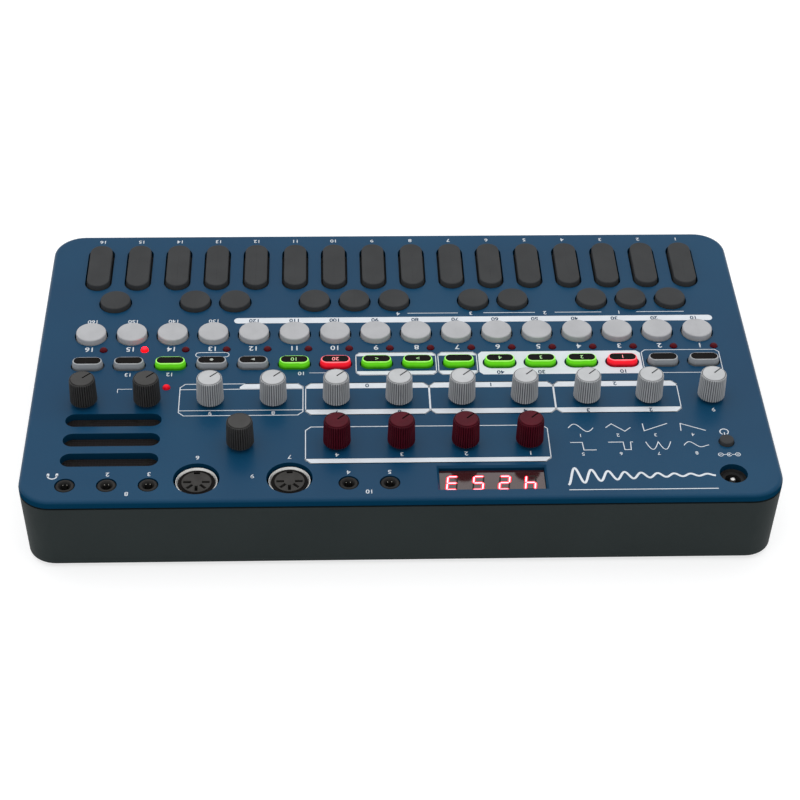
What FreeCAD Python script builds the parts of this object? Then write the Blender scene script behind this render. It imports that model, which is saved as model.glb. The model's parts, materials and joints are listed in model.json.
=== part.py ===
import FreeCAD
import Part
import math
import os
import Sketcher

# Compact synthesizer: a shallow case under a flat panel that carries every control.
# Millimetres. +X is the player's right, +Y the rear edge with the sockets, +Z up.
# The origin lies on the table, under the middle of the case.

COLUMNS = 16
FRONT_KNOBS = 11
CELLS = 6
SLOTS = 3
FLUTES = 24

# The sharps stand over the gaps between long keys, counted from the left: F# G# A# C# D# and so on.
SHARP_GAPS = (1, 2, 3, 5, 6, 8, 9, 10, 12, 13, 15)
# The rear row's knobs, in knob pitches from the middle; the encoder stands apart from the other four.
REAR_KNOBS = (-2, -1, 0, 1)
ENCODER = 2.5

SIZES = {
    # Casing
    "foot_height": 1.0,
    "foot_width": 11.0,
    "foot_inset": 22.0,
    "corner_radius": 13.0,
    "cover_thickness": 3.1,
    "cover_edge": 1.75,
    "seam_gap": 0.8,
    "wall_thickness": 2.6,
    "wall_draft": 1.4,
    "floor_thickness": 3.0,
    "base_edge": 1.2,
    "lip_height": 4.0,
    "lip_thickness": 1.6,
    "lip_clearance": 0.4,
    # Rows of the panel, from the front edge to the rear one
    "front_margin": 10.0,
    "key_length": 30.2,
    "sharp_gap": 3.3,
    "sharp_diameter": 13.0,
    "step_gap": 9.6,
    "step_diameter": 12.8,
    "lamp_gap": 1.9,
    "lamp_diameter": 3.2,
    "function_gap": 5.5,
    "function_depth": 6.2,
    "knob_gap": 15.0,
    "knob_diameter": 11.0,
    "knob_row_gap": 16.0,
    "jack_gap": 13.7,
    "jack_diameter": 7.6,
    "rear_margin": 6.0,
    # Columns of the panel
    "end_margin": 21.0,
    "button_width": 12.8,
    "button_spacing": 4.2,
    "key_width": 9.9,
    "lamp_offset": 5.8,
    "knob_pitch": 25.4,
    # Keys and buttons: how far they rise, travel and clear their holes
    "key_rise": 2.1,
    "step_rise": 2.3,
    "function_rise": 2.8,
    "power_rise": 1.8,
    "key_clearance": 0.8,
    "round_clearance": 0.5,
    "flange_margin": 1.3,
    "flange_thickness": 1.2,
    "rest_clearance": 0.25,
    "key_travel": 1.2,
    "press_clearance": 0.3,
    "plunger_width": 4.0,
    "plunger_length": 12.0,
    "power_diameter": 5.4,
    "power_drop": 18.8,
    "switch_width": 7.0,
    "switch_height": 3.0,
    # Knobs and their potentiometers
    "knob_height": 11.0,
    "knob_stand": 1.6,
    "flute_depth": 0.42,
    "flute_width": 1.0,
    "pointer_width": 0.9,
    "pointer_depth": 0.5,
    "shaft_diameter": 6.0,
    "pot_width": 9.8,
    "pot_depth": 12.4,
    "pot_height": 6.6,
    "shaft_clearance": 0.4,
    # Sockets along the rear edge
    "jack_inset": 18.1,
    "jack_pitch": 16.0,
    "jack_bore": 3.6,
    "jack_floor": 1.0,
    "jack_block": 9.2,
    "socket_clearance": 0.2,
    "din_spacing": 18.4,
    "din_pitch": 36.0,
    "din_inset": 13.0,
    "din_shell": 16.3,
    "din_wall": 0.9,
    "din_ring_gap": 0.85,
    "din_recess": 1.4,
    "din_insert": 11.6,
    "din_insert_recess": 1.7,
    "pin_slot_length": 3.0,
    "pin_slot_width": 1.2,
    "pin_slot_depth": 6.0,
    "pin_slot_radius": 3.6,
    "key_notch": 2.4,
    "sync_spacing": 22.9,
    "power_inset": 19.3,
    "power_socket_hole": 11.0,
    "power_socket_bore": 6.3,
    "power_socket_pin": 2.1,
    "power_socket_recess": 2.4,
    "power_block_depth": 14.0,
    # Display, lamps and speaker
    "display_spacing": 15.4,
    "display_width": 41.4,
    "display_height": 12.5,
    "display_inset": 12.25,
    "display_recess": 2.0,
    "window_bevel": 0.8,
    "display_border": 1.2,
    "lamp_rise": 1.3,
    "lamp_length": 5.8,
    "lamp_clearance": 0.1,
    "beat_drop": 9.0,
    "beat_shift": 7.2,
    "speaker_drop": 26.8,
    "slot_length": 38.3,
    "slot_width": 7.8,
    "slot_pitch": 12.0,
    "speaker_diameter": 36.0,
    "speaker_surround": 1.5,
    "cone_depth": 3.0,
    "cone_thickness": 0.6,
    "magnet_width": 20.0,
    "speaker_gap": 0.6,
    # Board and screws
    "component_height": 14.2,
    "board_thickness": 1.6,
    "board_gap": 0.8,
    "board_inset": 6.0,
    "board_corner": 7.4,
    "post_width": 5.0,
    "post_pitch": 50.0,
    "screw_inset": 9.0,
    "screw_head": 5.5,
    "screw_head_height": 1.8,
    "screw_diameter": 2.6,
    "screw_length": 12.0,
    "screw_play": 0.4,
    "column_width": 8.0,
    "column_web": 2.5,
    "boss_width": 6.0,
    "bore_spare": 0.5,
    # Battery bay and its door
    "cell_diameter": 14.5,
    "cell_length": 50.5,
    "cell_room": 0.6,
    "contact_room": 4.0,
    "bay_wall": 1.6,
    "bay_roof": 1.1,
    "bay_shelf": 2.5,
    "door_thickness": 1.6,
    "door_ledge": 2.0,
    "door_clearance": 0.3,
    "door_seat": 0.2,
    "tab_width": 4.0,
    "tab_thickness": 1.2,
    "tab_lift": 0.8,
    "tab_reach": 2.2,
    "latch_width": 14.0,
    "latch_height": 3.0,
    "latch_clearance": 0.3,
    "grip_length": 16.0,
    "grip_width": 1.2,
    "grip_pitch": 2.6,
    "finger_notch": 14.0,
    "contact_thickness": 0.5,
    "contact_width": 10.0,
    "contact_height": 10.0,
    "touch_width": 5.0,
    "touch_height": 5.0,
    "spring_depth": 2.2,
    "nub_depth": 0.8,
}

LAYOUT = {
    # Heights above the table
    "underside": "=Sizes.foot_height",
    "floor_top": "=underside + Sizes.floor_thickness",
    "bay_ceiling": "=underside + Sizes.door_thickness + Sizes.cell_diameter + Sizes.cell_room",
    "bay_top": "=bay_ceiling + Sizes.bay_roof",
    "board_under": "=bay_top + Sizes.board_gap",
    "board_top": "=board_under + Sizes.board_thickness",
    "panel_top": "=board_top + Sizes.component_height",
    "cover_under": "=panel_top - Sizes.cover_thickness",
    "case_rim": "=cover_under - Sizes.seam_gap",
    "wall_height": "=case_rim - underside",
    "draft_angle": "=atan(Sizes.wall_draft / wall_height)",
    "under_cover_height": "=cover_under - board_top",
    # Columns and rows
    "column_pitch": "=Sizes.button_width + Sizes.button_spacing",
    "column_run": f"={COLUMNS - 1} * column_pitch",
    "first_column": "=-column_run / 2",
    "case_length": "=column_run + 2 * Sizes.end_margin",
    "right_edge": "=case_length / 2",
    "front_half": (
        "=Sizes.front_margin + Sizes.key_length + Sizes.sharp_gap + Sizes.sharp_diameter"
        " + Sizes.step_gap + Sizes.step_diameter + Sizes.lamp_gap + Sizes.lamp_diameter"
    ),
    "rear_half": (
        "=Sizes.function_gap + Sizes.function_depth + Sizes.knob_gap + 2 * Sizes.knob_diameter"
        " + Sizes.knob_row_gap + Sizes.jack_gap + Sizes.jack_diameter + Sizes.rear_margin"
    ),
    "case_depth": "=front_half + rear_half",
    "rear_edge": "=case_depth / 2",
    "key_y": "=-rear_edge + Sizes.front_margin + Sizes.key_length / 2",
    "sharp_y": "=key_y + Sizes.key_length / 2 + Sizes.sharp_gap + Sizes.sharp_diameter / 2",
    "step_y": "=sharp_y + (Sizes.sharp_diameter + Sizes.step_diameter) / 2 + Sizes.step_gap",
    "lamp_y": "=step_y + (Sizes.step_diameter + Sizes.lamp_diameter) / 2 + Sizes.lamp_gap",
    "function_y": "=lamp_y + (Sizes.lamp_diameter + Sizes.function_depth) / 2 + Sizes.function_gap",
    "front_knob_y": "=function_y + (Sizes.function_depth + Sizes.knob_diameter) / 2 + Sizes.knob_gap",
    "rear_knob_y": "=front_knob_y + Sizes.knob_diameter + Sizes.knob_row_gap",
    "jack_y": "=rear_knob_y + (Sizes.knob_diameter + Sizes.jack_diameter) / 2 + Sizes.jack_gap",
    "socket_y": "=rear_edge - Sizes.din_inset",
    "display_y": "=rear_edge - Sizes.display_inset",
    "speaker_y": "=jack_y - Sizes.speaker_drop",
    "power_y": "=socket_y - Sizes.power_drop",
    "beat_y": "=front_knob_y - Sizes.beat_drop",
    "first_jack": "=right_edge - Sizes.jack_inset",
    "speaker_x": "=first_jack - Sizes.jack_pitch",
    "first_din": "=first_jack - 2 * Sizes.jack_pitch - Sizes.din_spacing",
    "second_din": "=first_din - Sizes.din_pitch",
    "first_sync": "=second_din - Sizes.sync_spacing",
    "second_sync": "=first_sync - Sizes.jack_pitch",
    "display_x": "=second_sync - Sizes.jack_diameter / 2 - Sizes.display_spacing - Sizes.display_width / 2",
    "power_x": "=Sizes.power_inset - right_edge",
    "beat_x": "=4 * Sizes.knob_pitch - Sizes.beat_shift",
    "first_lamp": "=first_column - Sizes.lamp_offset",
    "knob_run": f"={FRONT_KNOBS - 1} * Sizes.knob_pitch",
    "first_knob": "=-knob_run / 2",
    # Keys and buttons; heights in their forms are counted from the panel's top
    "flange_top": "=-Sizes.cover_thickness - Sizes.rest_clearance",
    "flange_under": "=flange_top - Sizes.flange_thickness",
    "plunger_length": "=Sizes.component_height + flange_under - Sizes.key_travel - Sizes.press_clearance",
    "key_cap_height": "=Sizes.key_rise - flange_top",
    "step_cap_height": "=Sizes.step_rise - flange_top",
    "function_cap_height": "=Sizes.function_rise - flange_top",
    "power_cap_height": "=Sizes.power_rise - flange_top",
    "power_plunger_length": "=plunger_length - Sizes.switch_height",
    "key_hole_width": "=Sizes.key_width + 2 * Sizes.key_clearance",
    "key_hole_length": "=Sizes.key_length + 2 * Sizes.key_clearance",
    "key_flange_width": "=Sizes.key_width + 2 * Sizes.flange_margin",
    "key_flange_length": "=Sizes.key_length + 2 * Sizes.flange_margin",
    "sharp_hole": "=Sizes.sharp_diameter + 2 * Sizes.round_clearance",
    "sharp_flange": "=Sizes.sharp_diameter + 2 * Sizes.flange_margin",
    "step_hole": "=Sizes.step_diameter + 2 * Sizes.round_clearance",
    "step_mat_depth": "=Sizes.step_diameter + 2 * Sizes.flange_margin",
    "step_mat_length": "=column_run + Sizes.step_diameter + 2 * Sizes.flange_margin",
    "function_hole_width": "=Sizes.button_width + 2 * Sizes.round_clearance",
    "function_hole_depth": "=Sizes.function_depth + 2 * Sizes.round_clearance",
    "function_mat_depth": "=Sizes.function_depth + 2 * Sizes.flange_margin",
    "function_mat_length": "=column_run + Sizes.button_width + 2 * Sizes.flange_margin",
    "power_hole": "=Sizes.power_diameter + 2 * Sizes.round_clearance",
    "power_flange": "=Sizes.power_diameter + 2 * Sizes.flange_margin",
    "lamp_hole": "=Sizes.lamp_diameter + 2 * Sizes.lamp_clearance",
    "lamp_top": "=panel_top + Sizes.lamp_rise",
    "mat_top": "=panel_top + flange_top",
    # Knobs and potentiometers
    "shaft_hole": "=Sizes.shaft_diameter + 2 * Sizes.shaft_clearance",
    "shaft_length": "=Sizes.knob_stand + Sizes.component_height - Sizes.pot_height",
    "knob_top": "=Sizes.knob_stand + Sizes.knob_height",
    # Sockets
    "jack_hole": "=Sizes.jack_diameter + 2 * Sizes.socket_clearance",
    "jack_block_height": "=under_cover_height - Sizes.press_clearance",
    "jack_collar_height": "=Sizes.component_height - jack_block_height",
    "jack_bore_depth": "=Sizes.component_height - Sizes.jack_floor",
    "din_hole": "=Sizes.din_shell + 2 * Sizes.din_ring_gap",
    "din_shell_bore": "=Sizes.din_shell - 2 * Sizes.din_wall",
    "din_shell_height": "=Sizes.component_height - Sizes.din_recess",
    "din_insert_height": "=Sizes.component_height - Sizes.din_insert_recess",
    "power_collar": "=Sizes.power_socket_hole - 2 * Sizes.socket_clearance",
    "power_collar_height": "=jack_collar_height - Sizes.power_socket_recess",
    "power_bore_depth": "=Sizes.component_height - Sizes.power_socket_recess - Sizes.jack_floor",
    # Display and speaker
    "display_block_width": "=Sizes.display_width + 2 * Sizes.display_border",
    "display_block_depth": "=Sizes.display_height + 2 * Sizes.display_border",
    "window_mouth_width": "=Sizes.display_width + 2 * Sizes.window_bevel",
    "window_mouth_height": "=Sizes.display_height + 2 * Sizes.window_bevel",
    "display_face_width": "=Sizes.display_width - 2 * Sizes.socket_clearance",
    "display_face_depth": "=Sizes.display_height - 2 * Sizes.socket_clearance",
    "display_face_height": "=Sizes.component_height - Sizes.display_recess - jack_block_height",
    "first_slot_y": "=speaker_y - Sizes.slot_pitch",
    "slot_run": f"={SLOTS - 1} * Sizes.slot_pitch",
    "cone_diameter": "=Sizes.speaker_diameter - 2 * Sizes.speaker_surround",
    "magnet_height": (
        "=under_cover_height - Sizes.speaker_gap - Sizes.cone_depth - Sizes.cone_thickness"
    ),
    # Board and screws
    "board_length": "=case_length - 2 * Sizes.board_inset",
    "board_width": "=case_depth - 2 * Sizes.board_inset",
    "screw_x": "=right_edge - Sizes.screw_inset",
    "screw_y": "=rear_edge - Sizes.screw_inset",
    "screw_hole": "=Sizes.screw_diameter + Sizes.screw_play",
    "head_hole": "=Sizes.screw_head + 2 * Sizes.screw_play",
    "column_height": "=board_top - floor_top",
    "head_seat": "=board_top - Sizes.column_web",
    "head_hole_depth": "=head_seat - underside",
    "boss_bore_depth": "=Sizes.screw_length - Sizes.column_web + Sizes.bore_spare",
    "board_notch": "=2 * Sizes.board_corner",
    "post_x": "=board_length / 2 - Sizes.post_width / 2",
    "post_height": "=board_under - floor_top",
    # Casing outlines
    "inner_length": "=case_length - 2 * Sizes.wall_thickness",
    "inner_depth": "=case_depth - 2 * Sizes.wall_thickness",
    "inner_radius": "=Sizes.corner_radius - Sizes.wall_thickness",
    "hollow_height": "=wall_height - Sizes.floor_thickness",
    "lip_length": "=inner_length - 2 * Sizes.lip_clearance",
    "lip_depth": "=inner_depth - 2 * Sizes.lip_clearance",
    "lip_radius": "=inner_radius - Sizes.lip_clearance",
    "lip_bore_length": "=lip_length - 2 * Sizes.lip_thickness",
    "lip_bore_depth": "=lip_depth - 2 * Sizes.lip_thickness",
    "lip_bore_radius": "=lip_radius - Sizes.lip_thickness",
    "foot_x": "=right_edge - Sizes.foot_inset",
    "foot_y": "=rear_edge - Sizes.foot_inset",
    # Battery bay
    "cell_pitch": "=Sizes.cell_diameter + Sizes.cell_room",
    "bay_length": f"={CELLS} * cell_pitch",
    "bay_depth": "=Sizes.cell_length + 2 * Sizes.contact_room",
    "bay_height": "=bay_ceiling - floor_top",
    "bay_block_length": "=bay_length + 2 * Sizes.bay_wall",
    "bay_block_depth": "=bay_depth + 2 * Sizes.bay_wall",
    "bay_block_height": "=bay_top - floor_top",
    "bay_mouth_depth": "=bay_depth - 2 * Sizes.bay_shelf",
    "rebate_length": "=bay_length + 2 * Sizes.door_ledge",
    "rebate_depth": "=bay_mouth_depth + 2 * Sizes.door_ledge",
    "rebate_height": "=Sizes.door_thickness + Sizes.door_seat",
    "door_length": "=rebate_length - 2 * Sizes.door_clearance",
    "door_depth": "=rebate_depth - 2 * Sizes.door_clearance",
    "door_inside": "=underside + Sizes.door_thickness",
    "tab_under": "=floor_top + Sizes.tab_lift",
    "tab_height": "=tab_under + Sizes.tab_thickness - door_inside",
    "tab_y": "=bay_mouth_depth / 2 - Sizes.door_clearance - Sizes.tab_thickness / 2",
    "hook_depth": "=Sizes.tab_thickness + Sizes.door_clearance + Sizes.tab_reach",
    "hook_y": "=tab_y + (hook_depth - Sizes.tab_thickness) / 2",
    "latch_y": "=-bay_mouth_depth / 2 + Sizes.latch_clearance + Sizes.tab_thickness / 2",
    "first_grip": "=-door_depth / 2 + 2 * Sizes.grip_pitch",
    "contact_y": "=(bay_depth - Sizes.contact_thickness) / 2",
    "contact_pair": "=cell_pitch + Sizes.contact_width",
    "contact_bottom": "=floor_top + Sizes.cell_room",
    "spring_y": "=bay_depth / 2 - Sizes.contact_thickness - Sizes.spring_depth / 2",
    "nub_y": "=bay_depth / 2 - Sizes.contact_thickness - Sizes.nub_depth / 2",
}

doc = FreeCAD.newDocument("compact_synthesizer")


def fill_sheet(name, cells):
    """A sheet with one named cell a row: the name in column A, its number or formula in column B."""
    sheet = doc.addObject("Spreadsheet::Sheet", name)
    for row, (alias, content) in enumerate(cells.items(), start=1):
        sheet.set(f"A{row}", alias)
        sheet.set(f"B{row}", str(content))
        sheet.setAlias(f"B{row}", alias)
    doc.recompute()
    return sheet


sheets = {"Sizes": fill_sheet("Sizes", SIZES), "Layout": fill_sheet("Layout", LAYOUT)}
subparts = []


def number(reference):
    """The value of a cell, such as Sizes.key_width."""
    sheet, alias = reference.split(".")
    cell = getattr(sheets[sheet], alias)
    return float(getattr(cell, "Value", cell))


# Helpers: bodies, sketches and the features cut from them


def new_body(name):
    """An empty body, which may end as more than one solid."""
    body = doc.addObject("PartDesign::Body", name)
    body.AllowCompound = True
    return body


def origin_feature(body, role):
    """An axis or a plane of the body's own origin."""
    return next(f for f in body.Origin.OriginFeatures if f.Role == role)


def new_sketch(body, height="0", x="0", y="0"):
    """A sketch parallel to the body's XY plane, with its origin placed by formulas."""
    sketch = body.newObject("Sketcher::SketchObject", "Outline")
    sketch.AttachmentSupport = (origin_feature(body, "XY_Plane"), [""])
    sketch.MapMode = "FlatFace"
    for axis, formula in zip("xyz", (x, y, height)):
        sketch.setExpression(f"AttachmentOffset.Base.{axis}", formula)
    return sketch


def constrain(sketch, *arguments, formula=None):
    """A constraint, bound to a formula if it has one."""
    index = sketch.addConstraint(Sketcher.Constraint(*arguments))
    if formula is not None:
        sketch.setExpression(f"Constraints[{index}]", formula)


def segment(sketch, start, end):
    """A straight line between two points of the sketch."""
    line = Part.LineSegment(FreeCAD.Vector(*start, 0), FreeCAD.Vector(*end, 0))
    return sketch.addGeometry(line, False)


def arc(sketch, centre, radius, first, last):
    """Part of a circle, between two angles in degrees."""
    whole = Part.Circle(FreeCAD.Vector(*centre, 0), FreeCAD.Vector(0, 0, 1), radius)
    part = Part.ArcOfCircle(whole, math.radians(first), math.radians(last))
    return sketch.addGeometry(part, False)


def place_point(sketch, geometry, point, x, y):
    """Holds a point at x, y from the sketch's origin."""
    constrain(sketch, "DistanceX", -1, 1, geometry, point, 0.0, formula=x)
    constrain(sketch, "DistanceY", -1, 1, geometry, point, 0.0, formula=y)


def circle(sketch, diameter, x="0", y="0"):
    """A circle with its centre at x, y."""
    whole = Part.Circle(FreeCAD.Vector(), FreeCAD.Vector(0, 0, 1), number(diameter) / 2)
    index = sketch.addGeometry(whole, False)
    constrain(sketch, "Diameter", index, number(diameter), formula=diameter)
    place_point(sketch, index, 3, x, y)


def rectangle(sketch, width, depth, x="0", y="0"):
    """A rectangle with its middle at x, y."""
    wide, deep = number(width), number(depth)
    corners = ((0, 0), (wide, 0), (wide, deep), (0, deep))
    sides = [segment(sketch, corners[k], corners[(k + 1) % 4]) for k in range(4)]
    for k in range(4):
        constrain(sketch, "Coincident", sides[k], 2, sides[(k + 1) % 4], 1)
        constrain(sketch, "Vertical" if k % 2 else "Horizontal", sides[k])
    constrain(sketch, "DistanceX", sides[0], 1, sides[0], 2, wide, formula=width)
    constrain(sketch, "DistanceY", sides[1], 1, sides[1], 2, deep, formula=depth)
    place_point(sketch, sides[0], 1, f"({x}) - ({width}) / 2", f"({y}) - ({depth}) / 2")


def stadium(sketch, width, depth):
    """An outline about the origin with two straight sides and two half-round ends, long in X or Y."""
    wide, deep = number(width), number(depth)
    lying = wide > deep
    length, breadth = (width, depth) if lying else (depth, width)
    reach, radius = abs(wide - deep) / 2, min(wide, deep) / 2
    if lying:
        ends = (arc(sketch, (reach, 0), radius, -90, 90), arc(sketch, (-reach, 0), radius, 90, 270))
        sides = (
            segment(sketch, (reach, radius), (-reach, radius)),
            segment(sketch, (-reach, -radius), (reach, -radius)),
        )
    else:
        ends = (arc(sketch, (0, reach), radius, 0, 180), arc(sketch, (0, -reach), radius, 180, 360))
        sides = (
            segment(sketch, (-radius, reach), (-radius, -reach)),
            segment(sketch, (radius, -reach), (radius, reach)),
        )
    for k in range(2):
        constrain(sketch, "Tangent", ends[k], 2, sides[k], 1)
        constrain(sketch, "Tangent", sides[k], 2, ends[1 - k], 1)
    constrain(sketch, "Horizontal" if lying else "Vertical", sides[0])
    constrain(sketch, "Diameter", ends[0], 2 * radius, formula=breadth)
    constrain(sketch, "Symmetric", ends[0], 3, ends[1], 3, -1, 1)
    spread = "DistanceX" if lying else "DistanceY"
    constrain(sketch, spread, ends[1], 3, ends[0], 3, 2 * reach, formula=f"{length} - {breadth}")


def rounded_rectangle(sketch, width, depth, radius):
    """A rectangle about the origin with four equal round corners."""
    across, up, bend = number(width) / 2, number(depth) / 2, number(radius)
    inner_x, inner_y = across - bend, up - bend
    sides = (
        segment(sketch, (-inner_x, -up), (inner_x, -up)),
        segment(sketch, (across, -inner_y), (across, inner_y)),
        segment(sketch, (inner_x, up), (-inner_x, up)),
        segment(sketch, (-across, inner_y), (-across, -inner_y)),
    )
    bends = (
        arc(sketch, (inner_x, -inner_y), bend, -90, 0),
        arc(sketch, (inner_x, inner_y), bend, 0, 90),
        arc(sketch, (-inner_x, inner_y), bend, 90, 180),
        arc(sketch, (-inner_x, -inner_y), bend, 180, 270),
    )
    for k in range(4):
        constrain(sketch, "Tangent", sides[k], 2, bends[k], 1)
        constrain(sketch, "Tangent", bends[k], 2, sides[(k + 1) % 4], 1)
        constrain(sketch, "Vertical" if k % 2 else "Horizontal", sides[k])
    for k in range(1, 4):
        constrain(sketch, "Equal", bends[0], bends[k])
    constrain(sketch, "Radius", bends[0], bend, formula=radius)
    constrain(sketch, "Symmetric", bends[0], 3, bends[2], 3, -1, 1)
    constrain(sketch, "DistanceX", sides[3], 1, sides[1], 1, 2 * across, formula=width)
    constrain(sketch, "DistanceY", sides[0], 1, sides[2], 1, 2 * up, formula=depth)


def pad(body, sketch, length, down=False, lean=None):
    """Material raised from the sketch, or hung below it; lean narrows it as it goes."""
    feature = body.newObject("PartDesign::Pad", "Raised")
    feature.Profile = sketch
    feature.Reversed = down
    feature.setExpression("Length", length)
    if lean is not None:
        feature.setExpression("TaperAngle", f"-{lean}")
    return feature


def pocket(body, sketch, depth=None, up=False, lean=None):
    """A recess cut down from the sketch, or up from it; with no depth it goes right through."""
    feature = body.newObject("PartDesign::Pocket", "Recess")
    feature.Profile = sketch
    feature.Reversed = up
    if depth is None:
        feature.Type = "ThroughAll"
    else:
        feature.setExpression("Length", depth)
    if lean is not None:
        feature.setExpression("TaperAngle", f"-{lean}")
    return feature


def row(body, feature, count, run, axis="X_Axis"):
    """Repeats a feature along an axis: count copies spread over the run."""
    pattern = body.newObject("PartDesign::LinearPattern", "Row")
    pattern.Originals = [feature]
    pattern.Direction = (origin_feature(body, axis), [""])
    pattern.Occurrences = count
    pattern.setExpression("Length", run)
    body.Tip = pattern
    return pattern


def fan(body, feature, count, angle):
    """Repeats a feature about the body's Z axis."""
    pattern = body.newObject("PartDesign::PolarPattern", "Fan")
    pattern.Originals = [feature]
    pattern.Axis = (origin_feature(body, "Z_Axis"), [""])
    pattern.Angle = angle
    pattern.Occurrences = count
    body.Tip = pattern
    return pattern


def edges_at(feature, height):
    """The names of the edges that lie flat at a height."""
    doc.recompute()
    level = number(height)
    names = []
    for index, edge in enumerate(feature.Shape.Edges, start=1):
        box = edge.BoundBox
        if abs(box.ZMin - level) < 1e-5 and abs(box.ZMax - level) < 1e-5:
            names.append(f"Edge{index}")
    return names


def soften(body, feature, height, size, kind="Chamfer"):
    """Bevels or rounds every edge of the feature that lies at a height."""
    names = edges_at(feature, height)
    softened = body.newObject(f"PartDesign::{kind}", "Softened")
    softened.Base = (feature, names)
    softened.setExpression("Radius" if kind == "Fillet" else "Size", size)
    return softened


def keep(piece, label):
    """Hands a finished piece in as a sub-part under its own name."""
    piece.Label = label
    subparts.append(piece)
    return piece


def copy_of(form, name, x, y, z="0", turn=None):
    """A copy of a form, placed by formulas; turn is in degrees about Z."""
    copy = doc.addObject("App::Link", name)
    copy.LinkedObject = form
    copy.setExpression("Placement.Base.x", x)
    copy.setExpression("Placement.Base.y", y)
    copy.setExpression("Placement.Base.z", z)
    if turn is not None:
        copy.Placement.Rotation = FreeCAD.Rotation(FreeCAD.Vector(0, 0, 1), turn)
    return copy


def group(label, pieces):
    """Loose pieces of one kind that share a sub-part."""
    whole = doc.addObject("Part::Compound", label)
    whole.Links = pieces
    return keep(whole, label)


# Places that several pieces share


def column_x(index):
    """The middle of a column of buttons, counted from the left."""
    return f"Layout.first_column + {index} * Layout.column_pitch"


def sharp_x(gap):
    """The middle of a gap between two columns."""
    return f"Layout.first_column + {gap - 0.5} * Layout.column_pitch"


SCREWS = [
    (f"{side} * Layout.screw_x", f"{end} * Layout.screw_y") for side in (-1, 1) for end in (-1, 1)
]
POSTS = [(f"{side} * Layout.post_x", f"{k} * Sizes.post_pitch") for side in (-1, 1) for k in (-1, 0, 1)]
FEET = [(f"{side} * Layout.foot_x", f"{end} * Layout.foot_y") for side in (-1, 1) for end in (-1, 1)]
JACKS = [f"Layout.first_jack - {k} * Sizes.jack_pitch" for k in range(3)]
JACKS += ["Layout.first_sync", "Layout.second_sync"]
DINS = ["Layout.first_din", "Layout.second_din"]
FRONT_X = [f"Layout.first_knob + {k} * Sizes.knob_pitch" for k in range(FRONT_KNOBS)]
REAR_X = [f"{k} * Sizes.knob_pitch" for k in REAR_KNOBS]
ENCODER_X = f"{ENCODER} * Sizes.knob_pitch"


def circles(body, height, diameter, places=(("0", "0"),)):
    """A sketch with one circle at each place."""
    sketch = new_sketch(body, height)
    for x, y in places:
        circle(sketch, diameter, x, y)
    return sketch


def squares(body, height, width, places):
    """A sketch with one square at each place."""
    sketch = new_sketch(body, height)
    for x, y in places:
        rectangle(sketch, width, width, x, y)
    return sketch


# Casing


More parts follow.
